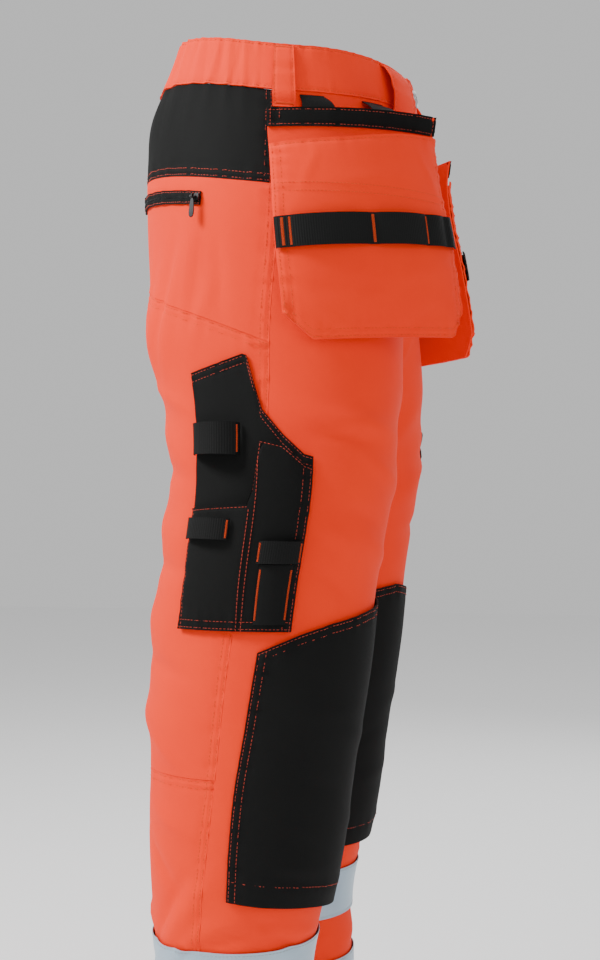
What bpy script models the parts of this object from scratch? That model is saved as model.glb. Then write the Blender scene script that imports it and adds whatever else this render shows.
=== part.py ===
"""Hi-vis holster work trousers, standing open as they are worn.

Metres, +Z up.  The wearer faces -Y, so the wearer's right is -X.  The origin
is the middle of the waist, level with the waistband's top edge in front.

Every cloth piece is a wall whose points come from one surface: a polar
section about each leg's axis, blended into the section of the hips above the
crotch.  An angle on that surface is 0 at the inside leg, 90 in front, 180 at
the outer side and 270 behind, in degrees.  A level is a height on the cloth,
which climbs towards the centre back.
"""
import math
from collections import namedtuple

import bmesh
import bpy
import numpy as np

# Walls and clearances
CLOTH = 0.0015
SEAM_GAP = 0.0003
HALF_GAP = SEAM_GAP / 2

# Heights from the waist down
BACK_RISE = 0.028
BAND_HEIGHT = 0.042
BAND_HEIGHT_FRONT = 0.036
YOKE_BOTTOM = -0.126
PELVIS_FULL = -0.17
LEG_FULL = -0.30
KNEE_SEAM = -0.632
HEM = -1.05

RIGHT = -1
LEFT = 1
SIDE_NAME = {RIGHT: "right", LEFT: "left"}

Pelvis = namedtuple("Pelvis", "z breadth front back power")
PELVIS = [
    Pelvis(0.040, 0.148, 0.104, 0.105, 2.1),
    Pelvis(0.000, 0.152, 0.107, 0.122, 2.1),
    Pelvis(-0.036, 0.159, 0.113, 0.138, 2.1),
    Pelvis(-0.080, 0.168, 0.118, 0.1415, 2.15),
    Pelvis(-0.135, 0.177, 0.120, 0.140, 2.2),
    Pelvis(-0.190, 0.181, 0.118, 0.137, 2.2),
    Pelvis(-0.250, 0.183, 0.115, 0.132, 2.2),
]

Leg = namedtuple("Leg", "z centre_x centre_y outer inner front back")
LEG = [
    Leg(0.040, 0.088, 0.000, 0.090, 0.086, 0.113, 0.128),
    Leg(-0.170, 0.090, 0.000, 0.091, 0.089, 0.116, 0.130),
    Leg(-0.250, 0.093, 0.000, 0.090, 0.0925, 0.115, 0.125),
    Leg(-0.290, 0.096, -0.003, 0.088, 0.0945, 0.109, 0.113),
    Leg(-0.325, 0.101, -0.005, 0.086, 0.0925, 0.104, 0.104),
    Leg(-0.380, 0.108, -0.005, 0.084, 0.0880, 0.101, 0.101),
    Leg(-0.478, 0.117, 0.007, 0.081, 0.0830, 0.098, 0.098),
    Leg(-0.537, 0.121, 0.013, 0.080, 0.0810, 0.098, 0.097),
    Leg(-0.630, 0.124, 0.020, 0.078, 0.0780, 0.090, 0.0895),
    Leg(-0.700, 0.124, 0.027, 0.0765, 0.0765, 0.084, 0.0835),
    Leg(-0.755, 0.124, 0.0315, 0.0745, 0.0745, 0.076, 0.0760),
    Leg(-0.800, 0.124, 0.0345, 0.0722, 0.0722, 0.069, 0.0690),
    Leg(-0.900, 0.124, 0.0355, 0.0715, 0.0715, 0.0695, 0.0695),
    Leg(-1.050, 0.124, 0.0360, 0.0725, 0.0725, 0.072, 0.0720),
]
LEG_POWER = 2.05

SeamAngle = namedtuple("SeamAngle", "z angle")
SIDE_SEAM = [
    SeamAngle(0.040, 171.0),
    SeamAngle(-0.150, 170.0),
    SeamAngle(-0.250, 174.0),
    SeamAngle(-0.450, 184.0),
    SeamAngle(-0.630, 190.0),
    SeamAngle(-1.050, 192.0),
]

Fold = namedtuple("Fold", "side angle z tilt length width height")
FOLDS = [
    Fold(RIGHT, 232, -0.215, -14, 0.060, 0.010, 0.0045),
    Fold(RIGHT, 250, -0.235, -10, 0.055, 0.012, 0.0040),
    Fold(LEFT, 228, -0.225, -16, 0.055, 0.011, 0.0045),
    Fold(LEFT, 255, -0.205, -8, 0.060, 0.011, 0.0035),
    Fold(0, 262, -0.335, 62, 0.050, 0.014, 0.0050),
    Fold(0, 268, -0.415, 74, 0.055, 0.016, 0.0045),
    Fold(0, 262, -0.500, 80, 0.050, 0.018, 0.0040),
    Fold(0, 258, -0.585, 82, 0.050, 0.015, 0.0045),
    Fold(RIGHT, 118, -0.335, 78, 0.045, 0.010, 0.0035),
    Fold(LEFT, 112, -0.325, 70, 0.045, 0.011, 0.0035),
    Fold(0, 60, -0.330, 48, 0.050, 0.011, 0.0040),
    Fold(0, 70, -0.390, 60, 0.050, 0.013, 0.0035),
    Fold(RIGHT, 210, -0.760, -40, 0.050, 0.012, 0.0045),
    Fold(LEFT, 214, -0.750, -48, 0.050, 0.012, 0.0040),
    Fold(0, 150, -0.850, 75, 0.055, 0.014, 0.0040),
    Fold(0, 240, -0.850, 70, 0.050, 0.015, 0.0040),
    Fold(0, 80, -0.855, 82, 0.050, 0.014, 0.0035),
    Fold(RIGHT, 205, -0.965, 72, 0.060, 0.018, 0.0050),
    Fold(LEFT, 200, -0.975, 78, 0.060, 0.018, 0.0050),
    Fold(0, 70, -0.980, 84, 0.060, 0.018, 0.0045),
    Fold(0, 320, -0.950, 76, 0.050, 0.016, 0.0040),
]


def smoothstep(start, end, value):
    """Rise from 0 to 1 between start and end, with level ends."""
    t = np.clip((np.asarray(value, float) - start) / (end - start), 0.0, 1.0)
    return t * t * (3 - 2 * t)


def column(table, name, z):
    """Column of a table at height z, on a smooth curve through its rows."""
    knots = np.array([row.z for row in reversed(table)])
    values = np.array([getattr(row, name) for row in reversed(table)])
    slopes = np.gradient(values, knots)
    z = np.clip(z, knots[0], knots[-1])
    low = np.clip(np.searchsorted(knots, z) - 1, 0, len(knots) - 2)
    span = knots[low + 1] - knots[low]
    t = (z - knots[low]) / span
    rise = t * t * (3 - 2 * t)
    return (values[low] * (1 - rise) + values[low + 1] * rise
            + slopes[low] * span * t * (1 - t) ** 2
            - slopes[low + 1] * span * t * t * (1 - t))


def leg_radius(angle, z):
    """Distance from the leg's axis to the leg's own section."""
    across = np.cos(np.radians(angle))
    along = np.sin(np.radians(angle))
    half_x = np.where(across > 0, column(LEG, "inner", z), column(LEG, "outer", z))
    half_y = np.where(along > 0, column(LEG, "front", z), column(LEG, "back", z))
    total = np.abs(across / half_x) ** LEG_POWER + np.abs(along / half_y) ** LEG_POWER
    return total ** (-1 / LEG_POWER)


def pelvis_radius(angle, z):
    """Distance from the leg's axis to the section of the hips."""
    centre_x, centre_y = column(LEG, "centre_x", z), column(LEG, "centre_y", z)
    breadth, power = column(PELVIS, "breadth", z), column(PELVIS, "power", z)
    front, back = column(PELVIS, "front", z), column(PELVIS, "back", z)
    across, along = np.cos(np.radians(angle)), np.sin(np.radians(angle))
    near = np.zeros(np.shape(across + z))
    far = near + 0.5
    for _ in range(30):
        middle = (near + far) / 2
        x = centre_x - middle * across
        y = centre_y - middle * along
        depth = np.where(y < 0, front, back)
        inside = np.abs(x / breadth) ** power + np.abs(y / depth) ** power < 1
        near = np.where(inside, middle, near)
        far = np.where(inside, far, middle)
    return near


def fold_height(side, angle, z):
    """Height of the folds above the plain surface."""
    total = np.zeros(np.shape(angle + z))
    for fold in FOLDS:
        if fold.side not in (0, side):
            continue
        turn = (angle - fold.angle + 180) % 360 - 180
        across = np.radians(turn) * 0.09
        down = z - fold.z
        tilt = math.radians(fold.tilt)
        along = across * math.sin(tilt) + down * math.cos(tilt)
        over = across * math.cos(tilt) - down * math.sin(tilt)
        total = total + fold.height * np.exp(-(over / fold.width) ** 2
                                             - (along / fold.length) ** 2)
    return total


def radius(side, angle, z):
    """Distance from the leg's axis to the cloth."""
    hips = smoothstep(LEG_FULL, PELVIS_FULL, z)
    plain = hips * pelvis_radius(angle, z) + (1 - hips) * leg_radius(angle, z)
    return plain + fold_height(side, angle, z)


def base_point(side, angle, z):
    """Point of the cloth's outer face."""
    reach = radius(side, angle, z)
    x = column(LEG, "centre_x", z) - reach * np.cos(np.radians(angle))
    y = column(LEG, "centre_y", z) - reach * np.sin(np.radians(angle))
    return np.stack([side * x, y, z + 0 * x], axis=-1)


def cloth_point(side, angle, z, lift=0.0):
    """Point that lies lift metres off the cloth's outer face."""
    turn, drop = 0.4, 0.0015
    along = base_point(side, angle + turn, z) - base_point(side, angle - turn, z)
    up = base_point(side, angle, z + drop) - base_point(side, angle, z - drop)
    normal = np.cross(along, up) * side
    normal /= np.linalg.norm(normal, axis=-1, keepdims=True)
    return base_point(side, angle, z) + normal * np.expand_dims(lift + 0 * z, -1)


def climb(angle, level):
    """Height at an angle of a level line, which climbs towards the centre back."""
    fade = smoothstep(-0.30, -0.13, level)
    return level + BACK_RISE * smoothstep(150, 300, angle) * fade


def centre_angle(side, z, front):
    """Angle of the centre seam at height z, or of the inside leg seam below the crotch."""
    inside = 0.0 if front else 360.0
    outside = 90.0 if front else 270.0
    near = np.full(np.shape(z), inside)
    far = np.full(np.shape(z), outside)
    limit = column(LEG, "centre_x", z) - HALF_GAP
    for _ in range(30):
        middle = (near + far) / 2
        crosses = radius(side, middle, z) * np.cos(np.radians(middle)) > limit
        near = np.where(crosses, middle, near)
        far = np.where(crosses, far, middle)
    gap = np.degrees(HALF_GAP / radius(side, inside + 0 * z, z))
    if front:
        return np.maximum(near, gap)
    return np.minimum(near, 360 - gap)


ORANGE = (0.97, 0.095, 0.010)
BLACK = (0.010, 0.011, 0.010)
SILVER = (0.42, 0.50, 0.58)
METAL = (0.45, 0.45, 0.46)

Finish = namedtuple("Finish", "colour roughness metallic")
ORANGE_TWILL = Finish(ORANGE, 0.85, 0.0)
BLACK_CANVAS = Finish(BLACK, 0.8, 0.0)
BLACK_WEBBING = Finish(BLACK, 0.7, 0.0)
TAPE = Finish(SILVER, 0.35, 0.0)
STEEL = Finish(METAL, 0.35, 0.9)
BLACK_METAL = Finish(BLACK, 0.4, 0.3)


def add_object(name, points, faces, finish):
    """Object with a mesh and a material of its own."""
    mesh = bpy.data.meshes.new(name)
    mesh.from_pydata([tuple(point) for point in points], [], faces)
    mesh.update()
    material = bpy.data.materials.new(name + "_finish")
    material.use_nodes = True
    shader = material.node_tree.nodes["Principled BSDF"]
    shader.inputs["Base Color"].default_value = (*finish.colour, 1.0)
    shader.inputs["Roughness"].default_value = finish.roughness
    shader.inputs["Metallic"].default_value = finish.metallic
    mesh.materials.append(material)
    made = bpy.data.objects.new(name, mesh)
    bpy.context.scene.collection.objects.link(made)
    return made


def face_outward(made):
    """Turn every face of a closed object outward."""
    shape = bmesh.new()
    shape.from_mesh(made.data)
    bmesh.ops.recalc_face_normals(shape, faces=shape.faces)
    shape.to_mesh(made.data)
    shape.free()


def wall(name, outer, inner, finish, ring=False):
    """Closed wall between two grids of points, its outer face counterclockwise from outside.

    Grids are rows by columns.  The first column is to the left as seen from
    outside and the first row is at the top.  A ring joins its last column to
    its first.
    """
    rows, columns = outer.shape[:2]
    points = np.concatenate([outer.reshape(-1, 3), inner.reshape(-1, 3)])
    back = rows * columns
    faces = []
    spans = columns if ring else columns - 1

    def corner(row, col):
        return row * columns + col % columns

    for row in range(rows - 1):
        for col in range(spans):
            a, b = corner(row, col), corner(row, col + 1)
            d, c = corner(row + 1, col), corner(row + 1, col + 1)
            faces += [(a, d, c), (a, c, b)]
            faces += [(a + back, c + back, d + back), (a + back, b + back, c + back)]
    for col in range(spans):
        a, b = corner(0, col), corner(0, col + 1)
        faces += [(a, b, b + back), (a, b + back, a + back)]
        d, c = corner(rows - 1, col), corner(rows - 1, col + 1)
        faces += [(d, c + back, c), (d, d + back, c + back)]
    if not ring:
        for row in range(rows - 1):
            a, d = corner(row, 0), corner(row + 1, 0)
            faces += [(a, a + back, d + back), (a, d + back, d)]
            b, c = corner(row, columns - 1), corner(row + 1, columns - 1)
            faces += [(b, c + back, b + back), (b, c, c + back)]
    return add_object(name, points, faces, finish)


def steps(count):
    """Even fractions from 0 to 1."""
    return np.linspace(0.0, 1.0, count + 1)


def sheet(name, side, angle, z, lift, thickness, finish, ring=False):
    """Wall on the cloth: angle, z and lift are grids, rows by columns.

    The columns run to the viewer's right as seen from outside.
    """
    inner = cloth_point(side, angle, z, lift)
    outer = cloth_point(side, angle, z, lift + thickness)
    return wall(name, outer, inner, finish, ring)


def left_to_right(side, grid):
    """Grid whose columns run by rising angle, turned to run to the viewer's right."""
    return grid if side == LEFT else grid[:, ::-1]


def spread(side, start, end, top, bottom, across, down, lift, thickness, name, finish):
    """Wall between two edge angles and a top and a bottom edge.

    start and end are functions of z, top and bottom functions of the angle,
    and lift is a number or a function of the fractions across and down.
    """
    u, v = np.meshgrid(across, down)
    z = np.full(u.shape, (top(180.0) + bottom(180.0)) / 2)
    for _ in range(4):
        angle = start(z) + (end(z) - start(z)) * u
        z = top(angle) + (bottom(angle) - top(angle)) * v
    raised = lift(u, v) if callable(lift) else np.full(u.shape, lift)
    grids = [left_to_right(side, grid) for grid in (angle, z, raised)]
    return sheet(name, side, *grids, thickness, finish)


def level_edge(level):
    """Edge that follows one level of the cloth."""
    return lambda angle: climb(angle, level)


def flat_edge(z):
    """Edge at one height."""
    return lambda angle: z + 0 * angle


def side_seam(offset=0.0):
    """Angle of the side seam, offset metres behind it."""
    return lambda z: column(SIDE_SEAM, "angle", z) + math.degrees(offset / 0.085)


def centre_seam(side, front):
    """Angle of the front or back centre seam and the inside leg seam below it."""
    return lambda z: centre_angle(side, z, front)


def band_bottom(angle):
    """Lower edge of the waistband."""
    front = 1 - smoothstep(60, 140, angle)
    return climb(angle, -BAND_HEIGHT + (BAND_HEIGHT - BAND_HEIGHT_FRONT) * front)


def below(edge, gap=SEAM_GAP):
    """Edge moved down by a gap."""
    return lambda angle: edge(angle) - gap


def seat_seam(angle):
    """Slanting seam under the seat, from the side seam up to the centre back."""
    return -0.262 + 0.090 * (angle - 174) / 141


PANEL_ROWS = [-0.036, -0.085, -0.135, -0.180, -0.215, -0.240, -0.260, -0.275, -0.285,
              -0.2915, -0.298, -0.310, -0.325, -0.345, -0.370, -0.400, -0.430, -0.462, -0.495,
              -0.528, -0.562, -0.596, -0.632, -0.670, -0.708, -0.745, -0.780, -0.815,
              -0.850, -0.885, -0.925, -0.965, -1.008, -1.050]


def panel_fractions(top, bottom):
    """Fractions down a panel at which its rows lie."""
    rows = [z for z in PANEL_ROWS if bottom + 0.008 < z < top - 0.008]
    heights = np.array([top, *rows, bottom])
    return (top - heights) / (top - bottom)


def build_panels(side):
    """Front, black yoke, seat, back thigh and lower back of one leg."""
    word = SIDE_NAME[side]
    front, back = centre_seam(side, True), centre_seam(side, False)
    seam_front, seam_back = side_seam(-HALF_GAP), side_seam(HALF_GAP)
    spread(side, front, seam_front, below(band_bottom), flat_edge(HEM), steps(13),
           panel_fractions(-BAND_HEIGHT_FRONT, HEM), -CLOTH, CLOTH, f"front_{word}", ORANGE_TWILL)
    spread(side, seam_back, back, below(band_bottom), level_edge(YOKE_BOTTOM), steps(10),
           steps(4), -CLOTH, CLOTH, f"yoke_{word}", BLACK_CANVAS)
    spread(side, seam_back, back, below(level_edge(YOKE_BOTTOM)), seat_seam, steps(10),
           steps(6), -CLOTH, CLOTH, f"seat_{word}", ORANGE_TWILL)
    spread(side, seam_back, back, below(seat_seam), flat_edge(KNEE_SEAM), steps(13),
           panel_fractions(-0.215, KNEE_SEAM), -CLOTH, CLOTH, f"back_thigh_{word}", ORANGE_TWILL)
    spread(side, seam_back, back, below(flat_edge(KNEE_SEAM)), flat_edge(HEM), steps(13),
           panel_fractions(KNEE_SEAM, HEM), -CLOTH, CLOTH, f"lower_back_{word}", ORANGE_TWILL)


HolsterEdge = namedtuple("HolsterEdge", "z side_x side_y front_x front_y")
HOLSTER = [
    HolsterEdge(-0.040, 0.165, -0.005, 0.086, -0.143),
    HolsterEdge(-0.075, 0.172, -0.005, 0.086, -0.138),
    HolsterEdge(-0.100, 0.178, -0.008, 0.086, -0.140),
    HolsterEdge(-0.170, 0.187, -0.014, 0.086, -0.154),
    HolsterEdge(-0.228, 0.191, -0.021, 0.087, -0.163),
    HolsterEdge(-0.262, 0.191, -0.024, 0.087, -0.165),
]
HOLSTER_BOW = 0.016
HOLSTER_BAND = 0.017
POUCH_DEPTH = 0.015
WEBBING = 0.0012

Station = namedtuple("Station", "across level")
HOLSTER_TOP = [Station(0.0, -0.059), Station(1.0, -0.053)]
HOLSTER_BOTTOM = [Station(0.0, -0.238), Station(0.13, -0.260), Station(0.93, -0.252),
                  Station(1.0, -0.229)]
HOLSTER_MOUTH = [Station(0.0, -0.0925), Station(0.35, -0.087), Station(0.7, -0.078),
                 Station(1.0, -0.0735)]
WEBBING_TOP = [Station(0.0, -0.157), Station(1.0, -0.145)]
WEBBING_HEIGHT = 0.027

WebLoop = namedtuple("WebLoop", "start end height")
WEB_LOOPS = [
    WebLoop(0.07, 0.44, 0.0035),
    WebLoop(0.47, 0.76, 0.0045),
    WebLoop(0.76, 0.90, 0.0030),
    WebLoop(0.90, 0.975, 0.0025),
]

Strap = namedtuple("Strap", "name angle_back angle_front across_back across_front")
STRAPS = [
    Strap("back", 156.0, 140.0, 0.18, 0.37),
    Strap("front", 112.0, 95.0, 0.60, 0.77),
]

Loop = namedtuple("Loop", "start end top bottom stand")
SIDE_LOOP = Loop(159.0, 174.0, -0.001, -0.058, 0.0030)
FRONT_LOOP = Loop(68.0, 89.0, -0.001, -0.052, 0.0085)
BACK_LOOP = Loop(302.0, 309.5, -0.001, -0.056, 0.0085)

LAP_ANGLE = 42.0
LAP_CLEARANCE = 0.0013
BAND_OUT = 0.0015
BAND_IN = 0.0010


def along(stations, across):
    """Height of an edge at a fraction across, through its stations."""
    return np.interp(across, [s.across for s in stations], [s.level for s in stations])


def holster_point(side, across, z, lift):
    """Point of a holster pocket's flat back layer, moved outward by lift."""
    side_x, side_y = column(HOLSTER, "side_x", z), column(HOLSTER, "side_y", z)
    front_x, front_y = column(HOLSTER, "front_x", z), column(HOLSTER, "front_y", z)
    run_x, run_y = front_x - side_x, front_y - side_y
    length = np.hypot(run_x, run_y)
    out_x, out_y = -run_y / length, run_x / length
    bow = HOLSTER_BOW * 4 * across * (1 - across)
    lean = HOLSTER_BOW * 4 * (1 - 2 * across) / length
    scale = 1 / np.hypot(1.0, lean)
    move = bow + lift * scale
    slide = -lift * lean * scale
    x = side_x + run_x * across + out_x * move + run_x / length * slide
    y = side_y + run_y * across + out_y * move + run_y / length * slide
    return np.stack([side * x, y, z + 0 * x], axis=-1)


def holster_sheet(name, side, across, top, bottom, down, lift, thickness, finish):
    """Wall on a holster between two edges; lift is a function of the fractions."""
    u, v = np.meshgrid(across, down)
    z = top(u) + (bottom(u) - top(u)) * v
    raised = lift(u, z) + 0 * u
    grids = [left_to_right(side, grid[:, ::-1]) for grid in (u, z, raised)]
    outer = holster_point(side, grids[0], grids[1], grids[2] + thickness)
    inner = holster_point(side, grids[0], grids[1], grids[2])
    return wall(name, outer, inner, finish)


def pouch_lift(across, z):
    """How far the inner face of a holster's pouch stands off the back layer's middle."""
    top, bottom = along(HOLSTER_MOUTH, across), along(HOLSTER_BOTTOM, across)
    fall = np.clip((top - z) / (top - bottom), 0.0, 1.0)
    edge = np.clip(across * (1 - across) * 4, 0.0, 1.0) ** 0.55
    return CLOTH + 3 * SEAM_GAP + POUCH_DEPTH * edge * (1 - fall ** 2.2)


def webbing_lift(across, z):
    """How far the tool webbing's inner face stands off, with its open loops."""
    raised = 0.0 * across
    for loop in WEB_LOOPS:
        t = np.clip((across - loop.start) / (loop.end - loop.start), 0.0, 1.0)
        raised = raised + loop.height * np.sin(np.pi * t) ** 0.6
    return pouch_lift(across, z) + CLOTH + 2 * SEAM_GAP + raised


def build_holster(side):
    """Hanging pocket: back layer, black top band, pouch, tool webbing and two straps."""
    word = SIDE_NAME[side]
    top = lambda u: along(HOLSTER_TOP, u)
    bottom = lambda u: along(HOLSTER_BOTTOM, u)
    mouth = lambda u: along(HOLSTER_MOUTH, u)
    across = np.array([0.0, 0.06, 0.13, 0.25, 0.375, 0.5, 0.625, 0.75, 0.86, 0.93, 1.0])
    holster_sheet(f"holster_back_{word}", side, across, top, bottom,
                  np.array([0.0, 0.085, 0.2, 0.4, 0.7, 1.0]),
                  lambda u, z: 0.0, CLOTH, ORANGE_TWILL)
    holster_sheet(f"holster_band_{word}", side, across, top, lambda u: top(u) - HOLSTER_BAND,
                  steps(1), lambda u, z: CLOTH + SEAM_GAP, WEBBING, BLACK_CANVAS)
    holster_sheet(f"holster_pouch_{word}", side, across, mouth, bottom, steps(7),
                  pouch_lift, CLOTH, ORANGE_TWILL)
    web_across = sorted({0.0, 1.0, *(t for loop in WEB_LOOPS for t in np.linspace(
        loop.start, loop.end, 5))})
    web_top = lambda u: along(WEBBING_TOP, u)
    holster_sheet(f"holster_webbing_{word}", side, np.array(web_across), web_top,
                  lambda u: web_top(u) - WEBBING_HEIGHT, steps(2), webbing_lift, WEBBING,
                  BLACK_WEBBING)
    for strap in STRAPS:
        build_strap(side, strap)


def build_strap(side, strap):
    """Webbing strap from under the waistband down behind the holster's top edge."""
    u, v = np.meshgrid(steps(2), np.array([0.0, 0.25, 0.5, 0.75, 1.0]))
    angle = strap.angle_back + (strap.angle_front - strap.angle_back) * u
    across = strap.across_back + (strap.across_front - strap.across_back) * u
    turn = smoothstep(0.0, 0.75, v)[..., None]

    def layer(lift):
        on_body = cloth_point(side, angle, band_bottom(angle) - 0.004 - 0.012 * v, 0.0008 + lift)
        on_holster = holster_point(side, across, -0.052 - 0.028 * (v - 0.4),
                                   lift - WEBBING - SEAM_GAP)
        return on_body * (1 - turn) + on_holster * turn

    inner, outer = layer(0.0), layer(WEBBING)
    if side == LEFT:
        inner, outer = inner[:, ::-1], outer[:, ::-1]
    wall(f"strap_{strap.name}_{SIDE_NAME[side]}", outer, inner, BLACK_WEBBING)


def build_loop(side, loop, name):
    """Belt loop that stands off the waistband between its two sewn ends."""
    fractions = np.array([0.0, 0.05, 0.15, 0.35, 0.6, 0.8, 0.93, 1.0])

    def stand(u, v):
        free = np.clip((v - 0.05) / 0.88, 0, 1)
        under = BAND_OUT - (BAND_OUT - SEAM_GAP) * smoothstep(0.85, 0.93, v)
        return under + SEAM_GAP + loop.stand * np.clip(np.sin(np.pi * free), 0, 1) ** 0.5

    spread(side, lambda z: loop.start + 0 * z, lambda z: loop.end + 0 * z,
           level_edge(loop.top), level_edge(loop.bottom), steps(3), fractions, stand, CLOTH,
           name, ORANGE_TWILL)


def build_waist():
    """Two waistband halves, the left lapped over the right, with button, fly and loops."""
    down = steps(2)
    spread(RIGHT, centre_seam(RIGHT, True), centre_seam(RIGHT, False), level_edge(0.0),
           band_bottom, steps(18), down, -BAND_IN, BAND_IN + BAND_OUT, "waistband_right",
           ORANGE_TWILL)
    lap_across = np.concatenate([[0.0, 0.018, 0.036, 0.060, 0.085], steps(17)[2:]])

    def lap_lift(u, v):
        lapped = 1 - smoothstep(0.036, 0.085, u)
        return -BAND_IN + (BAND_IN + BAND_OUT + LAP_CLEARANCE) * lapped

    spread(LEFT, lambda z: LAP_ANGLE + 0 * z, centre_seam(LEFT, False), level_edge(0.0),
           band_bottom, lap_across, down, lap_lift, BAND_IN + BAND_OUT, "waistband_left",
           ORANGE_TWILL)
    fly = centre_seam(LEFT, True)

    def fly_edge(z):
        curve = np.sqrt(np.clip(1 - (np.clip(-0.140 - z, 0, 0.044) / 0.045) ** 2, 0, 1))
        return fly(z) + 13.0 * curve

    spread(LEFT, fly, fly_edge, below(band_bottom), flat_edge(-0.184), steps(2), steps(7),
           SEAM_GAP * 2, 0.001, "fly", ORANGE_TWILL)
    for side in (RIGHT, LEFT):
        word = SIDE_NAME[side]
        build_loop(side, SIDE_LOOP, f"side_loop_{word}")
        build_loop(side, FRONT_LOOP, f"front_loop_{word}")
    build_loop(RIGHT, BACK_LOOP, "back_loop")
    build_button()


BUTTON_RADIUS = 0.0085
BUTTON_ANGLE = 46.0
BUTTON_LEVEL = -0.018


def frame_on_cloth(side, angle, z, lift):
    """Place, outward, sideways and upward directions at a point of the cloth."""
    place = cloth_point(side, angle, z, lift)
    out = cloth_point(side, angle, z, lift + 0.001) - place
    out /= np.linalg.norm(out)
    sideways = np.cross(np.array([0.0, 0.0, 1.0]), out)
    sideways /= np.linalg.norm(sideways)
    return place, out, sideways, np.cross(out, sideways)


def turned(name, place, out, sideways, up, profile, sides, finish):
    """Round solid about the outward axis from a profile of radius and height."""
    points, faces = [], []
    for radius_here, height in profile:
        for k in range(sides):
            turn = 2 * math.pi * k / sides
            points.append(place + out * height
                          + (sideways * math.cos(turn) + up * math.sin(turn)) * radius_here)
    for ring in range(len(profile) - 1):
        for k in range(sides):
            a, b = ring * sides + k, ring * sides + (k + 1) % sides
            faces.append((a, b, b + sides, a + sides))
    faces.append(tuple(reversed(range(sides))))
    last = (len(profile) - 1) * sides
    faces.append(tuple(range(last, last + sides)))
    return add_object(name, points, faces, finish)


def build_button():
    """Waist button on the lapped end."""
    place, out, sideways, up = frame_on_cloth(LEFT, BUTTON_ANGLE, BUTTON_LEVEL,
                                              2 * BAND_OUT + LAP_CLEARANCE + BAND_IN + 0.0006)
    profile = [(BUTTON_RADIUS, 0.0), (BUTTON_RADIUS, 0.0014), (BUTTON_RADIUS - 0.0015, 0.0026)]
    turned("waist_button", place, out, sideways, up, profile, 16, STEEL)


Outline = namedtuple("Outline", "angle z")
TOOL_TOP = [Outline(145, -0.362), Outline(157, -0.357), Outline(169, -0.340),
            Outline(181, -0.318), Outline(184, -0.300), Outline(188, -0.270),
            Outline(206, -0.279), Outline(226, -0.288)]
TOOL_MOUTH = [Outline(145, -0.372), Outline(157, -0.366), Outline(169, -0.350),
              Outline(180, -0.346), Outline(184, -0.400), Outline(226, -0.404)]
TOOL_BOTTOM = -0.506
KNEE_TOP = [Outline(20, -0.496), Outline(53, -0.488), Outline(73, -0.484),
            Outline(103, -0.492), Outline(128, -0.500), Outline(145, -0.508),
            Outline(172, -0.525)]
KNEE_BOTTOM = [Outline(20, -0.752), Outline(87, -0.750), Outline(123, -0.742),
               Outline(176, -0.734)]
KneeEdge = namedtuple("KneeEdge", "z angle")
KNEE_OUTER = [KneeEdge(-0.480, 169.0), KneeEdge(-0.525, 170.0), KneeEdge(-0.580, 173.0),
              KneeEdge(-0.640, 177.0), KneeEdge(-0.690, 177.0), KneeEdge(-0.760, 175.0)]
KNEE_INNER = 22.0
LAID_ON = 0.0011


def outline_edge(outline):
    """Edge through an outline's corners."""
    return lambda angle: np.interp(angle, [o.angle for o in outline], [o.z for o in outline])


def constant(value):
    """Edge at one angle."""
    return lambda z: value + 0 * z


def swell(u, v, height, power=0.6):
    """Rise of a pocket's face in its middle, open at its top."""
    return height * np.clip(np.sin(np.pi * u), 0, 1) ** power * (1 - v ** 2.5)


TOOL_START, TOOL_END = 152.0, 221.0
TOOL_SWELL = 0.011


def tool_lift(angle, z):
    """Lift of the tool pocket's pouch off the leg."""
    mouth = outline_edge(TOOL_MOUTH)(angle)
    u = np.clip((angle - TOOL_START) / (TOOL_END - TOOL_START), 0, 1)
    v = np.clip((mouth - z) / (mouth - TOOL_BOTTOM), 0, 1)
    return LAID_ON + CLOTH + SEAM_GAP + swell(u, v, TOOL_SWELL)


def leg_patch(name, side, angles, top, bottom, down, lift, thickness, finish):
    """Wall on the leg between given angles, with lift a function of angle and z."""
    angle, v = np.meshgrid(angles, down)
    z = top(angle) + (bottom(angle) - top(angle)) * v
    grids = [left_to_right(side, grid) for grid in (angle, z, lift(angle, z) + 0 * z)]
    return sheet(name, side, *grids, thickness, finish)


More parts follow.
